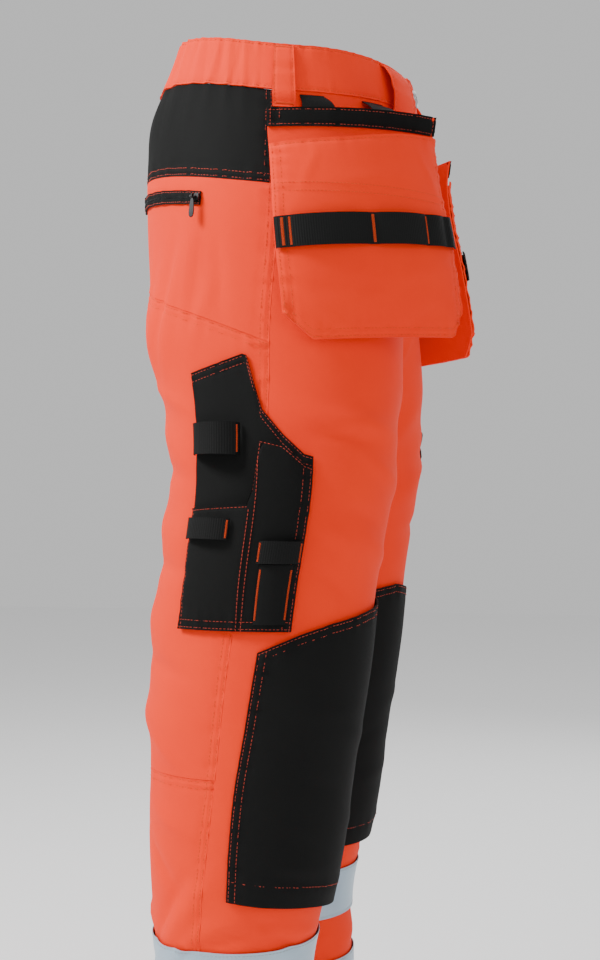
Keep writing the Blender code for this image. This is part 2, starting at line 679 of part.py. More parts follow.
def build_tool_pocket():
    """Right thigh tool pocket with hammer loop, tool elastic and screwdriver sleeve."""
    angles = np.array([TOOL_START, 157, 163, 169, 175, 181, 184, 188, 194, 200, 206, 213,
                       TOOL_END])
    leg_patch("tool_back", RIGHT, angles, outline_edge(TOOL_TOP), flat_edge(TOOL_BOTTOM),
              steps(6), lambda a, z: LAID_ON, CLOTH, BLACK_CANVAS)
    leg_patch("tool_pouch", RIGHT, angles, outline_edge(TOOL_MOUTH),
              flat_edge(TOOL_BOTTOM), steps(6), tool_lift, CLOTH, BLACK_CANVAS)
    hammer = np.linspace(193.0, 221.0, 9)

    def hammer_lift(angle, z):
        t = (angle - hammer[0]) / (hammer[-1] - hammer[0])
        return LAID_ON + CLOTH + 4 * SEAM_GAP + 0.013 * np.sin(np.pi * np.clip(t, 0, 1)) ** 0.6

    leg_patch("hammer_loop", RIGHT, hammer, flat_edge(-0.330), flat_edge(-0.358), steps(2),
              hammer_lift, WEBBING, BLACK_WEBBING)

    def over_pouch(start, end, height):
        def lift(angle, z):
            t = np.clip((angle - start) / (end - start), 0, 1)
            rise = height * np.sin(np.pi * t) ** 0.6
            return tool_lift(angle, z) + CLOTH + 2 * SEAM_GAP + rise
        return lift

    leg_patch("tool_elastic", RIGHT, np.linspace(193.0, 221.0, 9), flat_edge(-0.412),
              flat_edge(-0.430), steps(1), over_pouch(193.0, 221.0, 0.006), WEBBING,
              BLACK_WEBBING)
    leg_patch("driver_elastic", RIGHT, np.linspace(153.0, 176.0, 8), flat_edge(-0.430),
              flat_edge(-0.449), steps(1), over_pouch(153.0, 176.0, 0.005), WEBBING,
              BLACK_WEBBING)
    leg_patch("driver_sleeve", RIGHT, np.linspace(156.0, 174.0, 6), flat_edge(-0.4497),
              flat_edge(-0.500), steps(3), over_pouch(156.0, 174.0, 0.003), 0.001,
              BLACK_CANVAS)


CARGO_START, CARGO_END = 112.0, 186.0
CARGO_SWELL = 0.009
CARGO_TOP, CARGO_BOTTOM = -0.334, -0.476
FLAP_TOP, FLAP_BOTTOM = -0.324, -0.368


def cargo_lift(angle, z):
    """Lift of the left cargo pocket's pouch."""
    u = np.clip((angle - CARGO_START) / (CARGO_END - CARGO_START), 0, 1)
    v = np.clip((CARGO_TOP - z) / (CARGO_TOP - CARGO_BOTTOM), 0, 1)
    return LAID_ON + swell(u, v, CARGO_SWELL, 0.5)


def build_cargo_pocket():
    """Left thigh cargo pocket with a black flap."""
    angles = np.linspace(CARGO_START, CARGO_END, 11)
    leg_patch("cargo_pouch", LEFT, angles, flat_edge(CARGO_TOP), flat_edge(CARGO_BOTTOM),
              steps(6), cargo_lift, CLOTH, ORANGE_TWILL)

    def flap_lift(angle, z):
        over = 1 - smoothstep(CARGO_TOP + 0.004, FLAP_TOP, z)
        return LAID_ON + (cargo_lift(angle, z) + CLOTH + 2 * SEAM_GAP + 0.001 - LAID_ON) * over

    flap = np.linspace(CARGO_START - 3, CARGO_END + 3, 12)
    leg_patch("cargo_flap", LEFT, flap, flat_edge(FLAP_TOP), flat_edge(FLAP_BOTTOM),
              np.array([0.0, 0.07, 0.14, 0.3, 0.6, 1.0]), flap_lift, CLOTH, BLACK_CANVAS)


def build_knee_pocket(side):
    """Black knee pocket, open at its lower edge."""
    def lift(u, v):
        middle = np.clip(np.sin(np.pi * u), 0, 1) ** 0.7
        return 2 * SEAM_GAP + middle * (0.0015 + 0.0055 * smoothstep(0.45, 1.0, v))

    outer = lambda z: column(KNEE_OUTER, "angle", z)
    spread(side, constant(KNEE_INNER), outer, outline_edge(KNEE_TOP), outline_edge(KNEE_BOTTOM),
           steps(14), steps(9), lift, CLOTH, f"knee_pocket_{SIDE_NAME[side]}", BLACK_CANVAS)


TAPE_TOPS = {"upper": -0.778, "lower": -0.872}
TAPE_WIDTH = 0.050
TAPE_THICK = 0.0007
TAPE_LIFT = 0.0018


def build_tape(side, word, top):
    """Reflective tape sewn round the lower leg."""
    angles = np.linspace(0.0, 360.0, 30, endpoint=False)
    angle, z = np.meshgrid(angles, top - TAPE_WIDTH * steps(2))
    grids = [left_to_right(side, grid) for grid in (angle, z, TAPE_LIFT + 0 * z)]
    sheet(f"tape_{word}_{SIDE_NAME[side]}", side, *grids, TAPE_THICK, TAPE, ring=True)


WELT_START, WELT_END = 215.0, 285.0
WELT_TOP, WELT_BOTTOM = -0.139, -0.1505
WELT_THICK = 0.0012
SLIDER_ANGLE = 217.5


def build_back_zip(side):
    """Back pocket zip: black welt, slider with its bar, and the hanging pull."""
    word = SIDE_NAME[side]
    spread(side, constant(WELT_START), constant(WELT_END), level_edge(WELT_TOP),
           level_edge(WELT_BOTTOM), steps(11), steps(1), SEAM_GAP * 2 + 0.0003, WELT_THICK,
           f"zip_welt_{word}", BLACK_CANVAS)
    level = (WELT_TOP + WELT_BOTTOM) / 2
    lift = SEAM_GAP * 2 + 0.0003 + WELT_THICK + SEAM_GAP
    place, out, sideways, up = frame_on_cloth(side, SLIDER_ANGLE,
                                              float(climb(SLIDER_ANGLE, level)), lift)
    build_slider(f"slider_{word}", place, out, sideways, up)
    build_pull(f"pull_{word}", place, out, sideways, up)


SLIDER_HALF = (0.0040, 0.0030)
SLIDER_THICK = 0.0018
BAR_RADIUS = 0.0006
BAR_HEIGHT = 0.0046
BAR_HALF = 0.0030
EYE_HALF = 0.0007
PULL_EYE_OUTER = 0.0022
PULL_EYE_INNER = 0.0013
# Drop below the bar, half width and thickness of the tab's sections
PULL_TAB = [(0.0040, 0.0016, 1.0), (0.0080, 0.0022, 1.0), (0.0150, 0.0026, 1.0),
            (0.0180, 0.0018, 0.9), (0.0190, 0.0009, 0.7)]


def extruded(name, place, axes, outline, depth, finish):
    """Closed outline in the plane of the first two axes, extruded along the third."""
    first, second, third = axes
    count = len(outline)
    points = [place + first * a + second * b + third * c
              for c in (-depth, depth) for a, b in outline]
    faces = [tuple(reversed(range(count))), tuple(range(count, 2 * count))]
    faces += [(k, (k + 1) % count, (k + 1) % count + count, k + count) for k in range(count)]
    return add_object(name, points, faces, finish)


def build_slider(name, place, out, sideways, up):
    """Slider body with a hook whose bar runs along the zip and carries the pull."""
    half_w, half_h = SLIDER_HALF
    sunk = SLIDER_THICK / 2
    high, under = BAR_HEIGHT + BAR_RADIUS, BAR_HEIGHT - BAR_RADIUS
    post = -BAR_HALF + 2 * BAR_RADIUS
    body = [(-half_w, 0.0), (half_w, 0.0), (half_w, SLIDER_THICK), (-half_w, SLIDER_THICK)]
    hook = [(-BAR_HALF, sunk), (post, sunk), (post, under), (BAR_HALF, under),
            (BAR_HALF, high), (-BAR_HALF, high)]
    axes = (sideways, out, -up)
    made = extruded(name, place, axes, body, half_h, BLACK_METAL)
    tool = extruded(name + "_hook", place, axes, hook, BAR_RADIUS, BLACK_METAL)
    for item in (made, tool):
        face_outward(item)
    tool.hide_render = True
    tool.display_type = "WIRE"
    join = made.modifiers.new("hook", "BOOLEAN")
    join.operation = "UNION"
    join.solver = "EXACT"
    join.object = tool


def build_pull(name, place, out, sideways, up):
    """Pull tab: an eye round the slider's bar and a drop-shaped tab below it."""
    centre = place + out * BAR_HEIGHT
    sides = 12
    first = 3 * math.pi / 2 + math.pi / sides
    turns = [first + 2 * math.pi * k / sides for k in range(sides)]
    points = []
    for across in (-EYE_HALF, EYE_HALF):
        for reach in (PULL_EYE_OUTER, PULL_EYE_INNER):
            points += [centre + sideways * across
                       + (out * math.cos(turn) + up * math.sin(turn)) * reach
                       for turn in turns]
    faces = []
    for k in range(sides):
        n = (k + 1) % sides
        faces += [(k, n, n + sides, k + sides),
                  (k + 2 * sides, k + 3 * sides, n + 3 * sides, n + 2 * sides),
                  (k + sides, n + sides, n + 3 * sides, k + 3 * sides)]
        if n:
            faces.append((k, k + 2 * sides, n + 2 * sides, n))
    rim = [sides - 1, 3 * sides - 1, 2 * sides, 0]
    half_out = PULL_EYE_OUTER * math.sin(math.pi / sides)
    for drop, half_across, thin in PULL_TAB:
        ring = [len(points) + k for k in range(4)]
        for across, outward in ((-1, -1), (1, -1), (1, 1), (-1, 1)):
            points.append(centre - up * drop + sideways * half_across * across
                          + out * half_out * thin * outward)
        faces += [(rim[k], ring[k], ring[(k + 1) % 4], rim[(k + 1) % 4]) for k in range(4)]
        rim = ring
    faces.append(tuple(rim))
    face_outward(add_object(name, points, faces, BLACK_METAL))


def build_trousers():
    """Every piece of the trousers."""
    for side in (RIGHT, LEFT):
        build_panels(side)
        build_holster(side)
        build_knee_pocket(side)
        build_back_zip(side)
        for word, top in TAPE_TOPS.items():
            build_tape(side, word, top)
    build_waist()
    build_tool_pocket()
    build_cargo_pocket()


for old in list(bpy.data.objects):
    bpy.data.objects.remove(old, do_unlink=True)
build_trousers()
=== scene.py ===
"""Looks of the hi-vis holster work trousers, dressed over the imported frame.

Metres, +Z up.  The wearer faces -Y and the wearer's right is -X.  Every cloth
piece is a thin shell on the same surface as its solid: a polar section about
each leg's axis, blended into the section of the hips above the crotch.  An
angle is 0 at the inside leg, 90 in front, 180 at the outer side, 270 behind.
"""
import logging
import math
from dataclasses import dataclass, field
from enum import Enum
from typing import Callable, NamedTuple, Sequence

import bpy
import numpy as np
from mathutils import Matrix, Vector


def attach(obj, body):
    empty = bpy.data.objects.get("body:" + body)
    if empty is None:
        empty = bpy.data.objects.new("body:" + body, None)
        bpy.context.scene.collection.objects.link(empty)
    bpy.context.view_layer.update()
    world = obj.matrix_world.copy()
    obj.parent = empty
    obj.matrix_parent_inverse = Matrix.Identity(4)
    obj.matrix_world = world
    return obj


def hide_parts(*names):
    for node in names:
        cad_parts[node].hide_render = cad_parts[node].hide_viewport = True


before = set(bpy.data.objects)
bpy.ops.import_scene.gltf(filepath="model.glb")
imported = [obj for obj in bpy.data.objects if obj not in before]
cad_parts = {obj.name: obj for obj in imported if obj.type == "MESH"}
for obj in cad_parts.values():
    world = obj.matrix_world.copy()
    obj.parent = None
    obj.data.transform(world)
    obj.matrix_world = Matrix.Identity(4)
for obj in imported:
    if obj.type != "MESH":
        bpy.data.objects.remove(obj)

Array = np.ndarray
Edge = Callable[[Array], Array]
LOG = logging.getLogger("trousers")
BODY = "trousers"


class Side(Enum):
    """Wearer's side, with the sign of its X."""

    RIGHT = -1
    LEFT = 1

    @property
    def word(self) -> str:
        """Side's name in the names of its pieces."""
        return self.name.lower()


class Slot(Enum):
    """Material slots of the record."""

    TWILL = "orange_twill"
    CANVAS = "black_canvas"
    WEBBING = "black_webbing"
    TAPE = "reflective_tape"
    BUTTON = "button_metal"
    ZIP = "zip_metal"


class PelvisRow(NamedTuple):
    """Section of the hips at one height."""

    z: float
    breadth: float
    front: float
    back: float
    power: float


class LegRow(NamedTuple):
    """Section of a leg at one height, about the leg's axis."""

    z: float
    centre_x: float
    centre_y: float
    outer: float
    inner: float
    front: float
    back: float


class AngleRow(NamedTuple):
    """Angle of a seam or an edge at one height."""

    z: float
    angle: float


class Fold(NamedTuple):
    """Soft ridge, or a trough where its height is negative."""

    side: int
    angle: float
    z: float
    tilt: float
    length: float
    width: float
    height: float


class Crease(NamedTuple):
    """Soft ridge of one pocket."""

    across: float
    z: float
    tilt: float
    length: float
    width: float
    height: float


class HolsterRow(NamedTuple):
    """Plan of a holster's back layer at one height."""

    z: float
    side_x: float
    side_y: float
    front_x: float
    front_y: float


PELVIS = [
    PelvisRow(0.040, 0.148, 0.104, 0.105, 2.1),
    PelvisRow(0.000, 0.152, 0.107, 0.122, 2.1),
    PelvisRow(-0.036, 0.159, 0.113, 0.138, 2.1),
    PelvisRow(-0.080, 0.168, 0.118, 0.1415, 2.15),
    PelvisRow(-0.135, 0.177, 0.120, 0.140, 2.2),
    PelvisRow(-0.190, 0.181, 0.118, 0.137, 2.2),
    PelvisRow(-0.250, 0.183, 0.115, 0.132, 2.2),
]
LEG = [
    LegRow(0.040, 0.088, 0.000, 0.090, 0.086, 0.113, 0.128),
    LegRow(-0.170, 0.090, 0.000, 0.091, 0.089, 0.116, 0.130),
    LegRow(-0.250, 0.093, 0.000, 0.090, 0.0925, 0.115, 0.125),
    LegRow(-0.290, 0.096, -0.003, 0.088, 0.0945, 0.109, 0.113),
    LegRow(-0.325, 0.101, -0.005, 0.086, 0.0925, 0.104, 0.104),
    LegRow(-0.380, 0.108, -0.005, 0.084, 0.0880, 0.101, 0.101),
    LegRow(-0.478, 0.117, 0.007, 0.081, 0.0830, 0.098, 0.098),
    LegRow(-0.537, 0.121, 0.013, 0.080, 0.0810, 0.098, 0.097),
    LegRow(-0.630, 0.124, 0.020, 0.078, 0.0780, 0.090, 0.0895),
    LegRow(-0.700, 0.124, 0.027, 0.0765, 0.0765, 0.084, 0.0835),
    LegRow(-0.755, 0.124, 0.0315, 0.0745, 0.0745, 0.076, 0.0760),
    LegRow(-0.800, 0.124, 0.0345, 0.0722, 0.0722, 0.069, 0.0690),
    LegRow(-0.900, 0.124, 0.0355, 0.0715, 0.0715, 0.0695, 0.0695),
    LegRow(-1.050, 0.124, 0.0360, 0.0725, 0.0725, 0.072, 0.0720),
]
SIDE_SEAM = [
    AngleRow(0.040, 171.0), AngleRow(-0.150, 170.0), AngleRow(-0.250, 174.0),
    AngleRow(-0.450, 184.0), AngleRow(-0.630, 190.0), AngleRow(-1.050, 192.0),
]
MAIN_FOLDS = [
    Fold(-1, 232, -0.215, -14, 0.060, 0.010, 0.0045),
    Fold(-1, 250, -0.235, -10, 0.055, 0.012, 0.0040),
    Fold(1, 228, -0.225, -16, 0.055, 0.011, 0.0045),
    Fold(1, 255, -0.205, -8, 0.060, 0.011, 0.0035),
    Fold(0, 262, -0.335, 62, 0.050, 0.014, 0.0050),
    Fold(0, 268, -0.415, 74, 0.055, 0.016, 0.0045),
    Fold(0, 262, -0.500, 80, 0.050, 0.018, 0.0040),
    Fold(0, 258, -0.585, 82, 0.050, 0.015, 0.0045),
    Fold(-1, 118, -0.335, 78, 0.045, 0.010, 0.0035),
    Fold(1, 112, -0.325, 70, 0.045, 0.011, 0.0035),
    Fold(0, 60, -0.330, 48, 0.050, 0.011, 0.0040),
    Fold(0, 70, -0.390, 60, 0.050, 0.013, 0.0035),
    Fold(-1, 210, -0.760, -40, 0.050, 0.012, 0.0045),
    Fold(1, 214, -0.750, -48, 0.050, 0.012, 0.0040),
    Fold(0, 150, -0.850, 75, 0.055, 0.014, 0.0040),
    Fold(0, 240, -0.850, 70, 0.050, 0.015, 0.0040),
    Fold(0, 80, -0.855, 82, 0.050, 0.014, 0.0035),
    Fold(-1, 205, -0.965, 72, 0.060, 0.018, 0.0050),
    Fold(1, 200, -0.975, 78, 0.060, 0.018, 0.0050),
    Fold(0, 70, -0.980, 84, 0.060, 0.018, 0.0045),
    Fold(0, 320, -0.950, 76, 0.050, 0.016, 0.0040),
]
FINE_FOLDS = [
    Fold(-1, 222, -0.205, -6, 0.040, 0.0045, 0.0030),
    Fold(-1, 241, -0.225, -12, 0.045, 0.0050, -0.0030),
    Fold(-1, 214, -0.235, -20, 0.030, 0.0040, 0.0019),
    Fold(-1, 259, -0.215, -4, 0.040, 0.0050, 0.0027),
    Fold(-1, 203, -0.205, 4, 0.040, 0.0050, -0.0017),
    Fold(1, 236, -0.215, -8, 0.045, 0.0050, 0.0030),
    Fold(1, 219, -0.210, -18, 0.035, 0.0045, -0.0025),
    Fold(1, 247, -0.230, -3, 0.035, 0.0045, 0.0023),
    Fold(0, 282, -0.300, 40, 0.035, 0.0060, -0.0034),
    Fold(0, 292, -0.315, 52, 0.035, 0.0060, 0.0034),
    Fold(-1, 245, -0.305, 66, 0.030, 0.0060, 0.0030),
    Fold(-1, 250, -0.372, 82, 0.030, 0.0070, -0.0034),
    Fold(1, 240, -0.368, 70, 0.030, 0.0060, -0.0034),
    Fold(-1, 246, -0.455, 86, 0.030, 0.0075, -0.0038),
    Fold(1, 250, -0.462, 76, 0.035, 0.0075, -0.0030),
    Fold(-1, 238, -0.540, 78, 0.035, 0.0075, -0.0034),
    Fold(1, 243, -0.546, 85, 0.035, 0.0070, -0.0038),
    Fold(-1, 232, -0.610, 62, 0.030, 0.0060, 0.0027),
    Fold(-1, 132, -0.342, 84, 0.026, 0.0045, -0.0030),
    Fold(-1, 124, -0.327, 80, 0.030, 0.0050, 0.0023),
    Fold(-1, 105, -0.372, 62, 0.034, 0.0060, 0.0027),
    Fold(-1, 112, -0.412, 74, 0.030, 0.0070, -0.0027),
    Fold(-1, 134, -0.425, 60, 0.030, 0.0060, 0.0023),
    Fold(-1, 96, -0.442, 70, 0.034, 0.0070, 0.0025),
    Fold(-1, 128, -0.468, 56, 0.030, 0.0065, -0.0021),
    Fold(1, 96, -0.362, 66, 0.034, 0.0060, 0.0025),
    Fold(1, 92, -0.425, 72, 0.034, 0.0070, -0.0027),
    Fold(0, 38, -0.302, 35, 0.035, 0.0050, 0.0034),
    Fold(0, 48, -0.278, 30, 0.035, 0.0045, -0.0027),
    Fold(0, 57, -0.262, 26, 0.030, 0.0045, 0.0023),
    Fold(0, 30, -0.350, 55, 0.035, 0.0060, -0.0030),
    Fold(0, 26, -0.410, 66, 0.035, 0.0070, 0.0027),
    Fold(0, 332, -0.330, -40, 0.035, 0.0060, 0.0030),
    Fold(0, 322, -0.390, -60, 0.035, 0.0070, -0.0027),
    Fold(0, 340, -0.470, 84, 0.030, 0.0080, 0.0027),
    Fold(0, 8, -0.560, 88, 0.030, 0.0080, -0.0027),
    Fold(-1, 222, -0.672, 74, 0.030, 0.0065, 0.0027),
    Fold(-1, 228, -0.712, 55, 0.032, 0.0060, -0.0030),
    Fold(-1, 219, -0.745, -38, 0.036, 0.0045, -0.0030),
    Fold(-1, 203, -0.775, -50, 0.030, 0.0045, 0.0027),
    Fold(-1, 186, -0.762, -62, 0.026, 0.0040, 0.0019),
    Fold(-1, 168, -0.765, -74, 0.030, 0.0045, -0.0023),
    Fold(-1, 150, -0.762, 78, 0.034, 0.0045, 0.0023),
    Fold(-1, 136, -0.770, 66, 0.034, 0.0050, -0.0023),
    Fold(1, 225, -0.700, 60, 0.034, 0.0060, 0.0029),
    Fold(1, 206, -0.770, -52, 0.034, 0.0048, -0.0027),
    Fold(1, 170, -0.765, 80, 0.034, 0.0050, 0.0023),
    Fold(0, 262, -0.760, 76, 0.036, 0.0070, 0.0030),
    Fold(0, 300, -0.700, 84, 0.036, 0.0080, -0.0030),
    Fold(0, 250, -0.800, 68, 0.030, 0.0060, -0.0023),
    Fold(0, 108, -0.770, 82, 0.030, 0.0050, 0.0019),
    Fold(0, 215, -0.850, 84, 0.036, 0.0065, 0.0029),
    Fold(0, 118, -0.856, 78, 0.036, 0.0060, -0.0027),
    Fold(0, 30, -0.852, 80, 0.036, 0.0060, 0.0023),
    Fold(-1, 160, -0.948, 66, 0.040, 0.0075, 0.0034),
    Fold(-1, 140, -0.985, 76, 0.040, 0.0080, -0.0038),
    Fold(-1, 240, -0.990, 70, 0.040, 0.0080, 0.0038),
    Fold(-1, 100, -1.015, 84, 0.040, 0.0080, 0.0030),
    Fold(1, 158, -0.955, 74, 0.040, 0.0075, 0.0034),
    Fold(1, 132, -0.995, 80, 0.040, 0.0080, -0.0034),
    Fold(1, 245, -0.985, 66, 0.040, 0.0080, 0.0038),
    Fold(0, 285, -1.010, 82, 0.040, 0.0080, -0.0030),
    Fold(0, 20, -0.990, 80, 0.040, 0.0080, -0.0030),
]
HOLSTER = [
    HolsterRow(-0.040, 0.165, -0.005, 0.086, -0.143),
    HolsterRow(-0.075, 0.172, -0.005, 0.086, -0.138),
    HolsterRow(-0.100, 0.178, -0.008, 0.086, -0.140),
    HolsterRow(-0.170, 0.187, -0.014, 0.086, -0.154),
    HolsterRow(-0.228, 0.191, -0.021, 0.087, -0.163),
    HolsterRow(-0.262, 0.191, -0.024, 0.087, -0.165),
]


def smoothstep(start: float, end: float, value: Array) -> Array:
    """Rise from 0 to 1 between start and end, with level ends."""
    t = np.clip((np.asarray(value, float) - start) / (end - start), 0.0, 1.0)
    return t * t * (3 - 2 * t)


def column(table: Sequence[NamedTuple], name: str, z: Array) -> Array:
    """Read a table's column at a height, on a smooth curve through its rows.

    Args:
        table: rows with a z, from the top down.
        name: the column.
        z: heights.

    Returns:
        The column's value at each height.
    """
    knots = np.array([row.z for row in reversed(table)])
    values = np.array([getattr(row, name) for row in reversed(table)])
    slopes = np.gradient(values, knots)
    z = np.clip(z, knots[0], knots[-1])
    low = np.clip(np.searchsorted(knots, z) - 1, 0, len(knots) - 2)
    span = knots[low + 1] - knots[low]
    t = (z - knots[low]) / span
    rise = t * t * (3 - 2 * t)
    return (values[low] * (1 - rise) + values[low + 1] * rise
            + slopes[low] * span * t * (1 - t) ** 2
            - slopes[low + 1] * span * t * t * (1 - t))


def ridge(fold: "Fold | Crease", across: Array, down: Array) -> Array:
    """Height of one soft ridge.

    Args:
        fold: its tilt, length, width and height.
        across: metres across from its middle.
        down: metres of height from its middle.

    Returns:
        Height at each place.
    """
    tilt = math.radians(fold.tilt)
    along = across * math.sin(tilt) + down * math.cos(tilt)
    over = across * math.cos(tilt) - down * math.sin(tilt)
    return fold.height * np.exp(-(over / fold.width) ** 2 - (along / fold.length) ** 2)


@dataclass
class TrouserForm:
    """Worn surface of the trousers, the same as the solids' with finer folds."""

    leg_power: float = 2.05
    pelvis_full: float = -0.17
    leg_full: float = -0.30
    back_rise: float = 0.028
    half_gap: float = 0.00015
    folds: list[Fold] = field(default_factory=lambda: MAIN_FOLDS + FINE_FOLDS)

    def leg_radius(self, angle: Array, z: Array) -> Array:
        """Distance from the leg's axis to the leg's own section."""
        across, along = np.cos(np.radians(angle)), np.sin(np.radians(angle))
        half_x = np.where(across > 0, column(LEG, "inner", z), column(LEG, "outer", z))
        half_y = np.where(along > 0, column(LEG, "front", z), column(LEG, "back", z))
        power = self.leg_power
        total = np.abs(across / half_x) ** power + np.abs(along / half_y) ** power
        return total ** (-1 / power)

    def pelvis_radius(self, angle: Array, z: Array) -> Array:
        """Distance from the leg's axis to the section of the hips."""
        centre_x, centre_y = column(LEG, "centre_x", z), column(LEG, "centre_y", z)
        breadth, power = column(PELVIS, "breadth", z), column(PELVIS, "power", z)
        front, back = column(PELVIS, "front", z), column(PELVIS, "back", z)
        across, along = np.cos(np.radians(angle)), np.sin(np.radians(angle))
        near = np.zeros(np.shape(across + z))
        far = near + 0.5
        for _ in range(24):
            middle = (near + far) / 2
            x, y = centre_x - middle * across, centre_y - middle * along
            depth = np.where(y < 0, front, back)
            inside = np.abs(x / breadth) ** power + np.abs(y / depth) ** power < 1
            near, far = np.where(inside, middle, near), np.where(inside, far, middle)
        return near

    def fold_height(self, side: Side, angle: Array, z: Array) -> Array:
        """Height of the folds above the plain surface."""
        total = np.zeros(np.shape(angle + z))
        for fold in self.folds:
            if fold.side not in (0, side.value):
                continue
            across = np.radians((angle - fold.angle + 180) % 360 - 180) * FOLD_ARC
            total = total + ridge(fold, across, z - fold.z)
        return total

    def radius(self, side: Side, angle: Array, z: Array) -> Array:
        """Distance from the leg's axis to the cloth."""
        hips = smoothstep(self.leg_full, self.pelvis_full, z)
        plain = hips * self.pelvis_radius(angle, z) + (1 - hips) * self.leg_radius(angle, z)
        return plain + self.fold_height(side, angle, z)

    def base(self, side: Side, angle: Array, z: Array) -> Array:
        """Points of the cloth's outer face."""
        reach = self.radius(side, angle, z)
        x = column(LEG, "centre_x", z) - reach * np.cos(np.radians(angle))
        y = column(LEG, "centre_y", z) - reach * np.sin(np.radians(angle))
        return np.stack([side.value * x, y, z + 0 * x], axis=-1)

    def frames(self, side: Side, angle: Array, z: Array) -> tuple[Array, Array]:
        """Points of the cloth's outer face and the directions that leave it."""
        turn, drop = 0.4, 0.0015
        along = self.base(side, angle + turn, z) - self.base(side, angle - turn, z)
        up = self.base(side, angle, z + drop) - self.base(side, angle, z - drop)
        normal = np.cross(along, up) * side.value
        normal /= np.linalg.norm(normal, axis=-1, keepdims=True)
        return self.base(side, angle, z), normal

    def point(self, side: Side, angle: Array, z: Array, lift: Array = 0.0) -> Array:
        """Points that lie lift metres off the cloth's outer face."""
        angle, z = np.asarray(angle, float), np.asarray(z, float)
        place, normal = self.frames(side, angle, z)
        return place + normal * np.expand_dims(lift + 0 * z, -1)

    def climb(self, angle: Array, level: Array) -> Array:
        """Height of a level line, which climbs towards the centre back."""
        fade = smoothstep(-0.30, -0.13, level)
        return level + self.back_rise * smoothstep(150, 300, angle) * fade

    def centre(self, side: Side, z: Array, front: bool) -> Array:
        """Angle of the centre seam, or of the inside leg seam below the crotch."""
        inside, outside = (0.0, 90.0) if front else (360.0, 270.0)
        near, far = np.full(np.shape(z), inside), np.full(np.shape(z), outside)
        limit = column(LEG, "centre_x", z) - self.half_gap
        for _ in range(24):
            middle = (near + far) / 2
            crosses = self.radius(side, middle, z) * np.cos(np.radians(middle)) > limit
            near, far = np.where(crosses, middle, near), np.where(crosses, far, middle)
        gap = np.degrees(self.half_gap / self.radius(side, inside + 0 * z, z))
        return np.maximum(near, gap) if front else np.minimum(near, 360 - gap)


FORM = TrouserForm()

BAND_HEIGHT = 0.042
BAND_HEIGHT_FRONT = 0.036
YOKE_BOTTOM = -0.126
KNEE_SEAM = -0.632
HEM = -1.050
CLOTH = 0.0015
WEBBING = 0.0012
SEAM_GAP = 0.0003
HALF_GAP = 0.00015
SEAM_ARC = 0.085
FOLD_ARC = 0.09
OUTWARD_STEP = 0.001
NEAR, SECOND = 0.002, 0.008
SEAM_NEAR, SEAM_SECOND = 0.0018, 0.0078
HEM_TURN = 0.018
HOLSTER_WIDTH = 0.165


@dataclass(frozen=True)
class Cloth:
    """Surface of the legs and hips: across is an angle in degrees."""

    side: Side

    def at(self, across: Array, z: Array, lift: Array) -> Array:
        """Points lift metres off the cloth."""
        return FORM.point(self.side, across, z, lift)

    def metres(self, across: Array) -> Array:
        """Distance across, for the weave."""
        return np.radians(across) * SEAM_ARC


@dataclass(frozen=True)
class Hanging:
    """Flat back layer of a holster: across runs from 0 at its back edge to 1."""

    side: Side
    bow: float = 0.016
    width: float = HOLSTER_WIDTH

    def at(self, across: Array, z: Array, lift: Array) -> Array:
        """Points lift metres off the back layer."""
        side_x, side_y = column(HOLSTER, "side_x", z), column(HOLSTER, "side_y", z)
        run_x = column(HOLSTER, "front_x", z) - side_x
        run_y = column(HOLSTER, "front_y", z) - side_y
        length = np.hypot(run_x, run_y)
        lean = self.bow * 4 * (1 - 2 * across) / length
        scale = 1 / np.hypot(1.0, lean)
        move = self.bow * 4 * across * (1 - across) + lift * scale
        slide = -lift * lean * scale
        x = side_x + run_x * across + (-run_y * move + run_x * slide) / length
        y = side_y + run_y * across + (run_x * move + run_y * slide) / length
        return np.stack([self.side.value * x, y, z + 0 * x], axis=-1)

    def metres(self, across: Array) -> Array:
        """Distance across, for the weave."""
        return across * self.width


@dataclass
class Look:
    """Material of a piece and the record's slot that it belongs to."""

    slot: Slot
    material: bpy.types.Material


def put_mesh(name: str, points: Array, faces: Sequence, uv: Array, look: Look) -> bpy.types.Object:
    """Add an object from points, faces and a place on the cut for every point.

    Args:
        name: object's name.
        points: corners in metres.
        faces: corner numbers of each face.
        uv: place of every corner on the flat cloth, in metres.
        look: slot and material.

    Returns:
        The new object, smooth but for its sharp edges.
    """
    mesh = bpy.data.meshes.new(name)
    mesh.from_pydata(points.tolist(), [], faces)
    layer = mesh.uv_layers.new(name="cut")
    corners = np.empty(len(mesh.loops), dtype=np.int32)
    mesh.loops.foreach_get("vertex_index", corners)
    layer.data.foreach_set("uv", uv[corners].astype(np.float32).ravel())
    mesh.shade_smooth()
    mesh.set_sharp_from_angle(angle=math.radians(52))
    mesh.materials.append(look.material)
    made = bpy.data.objects.new(name, mesh)
    bpy.context.scene.collection.objects.link(made)
    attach(made, BODY)
    return made


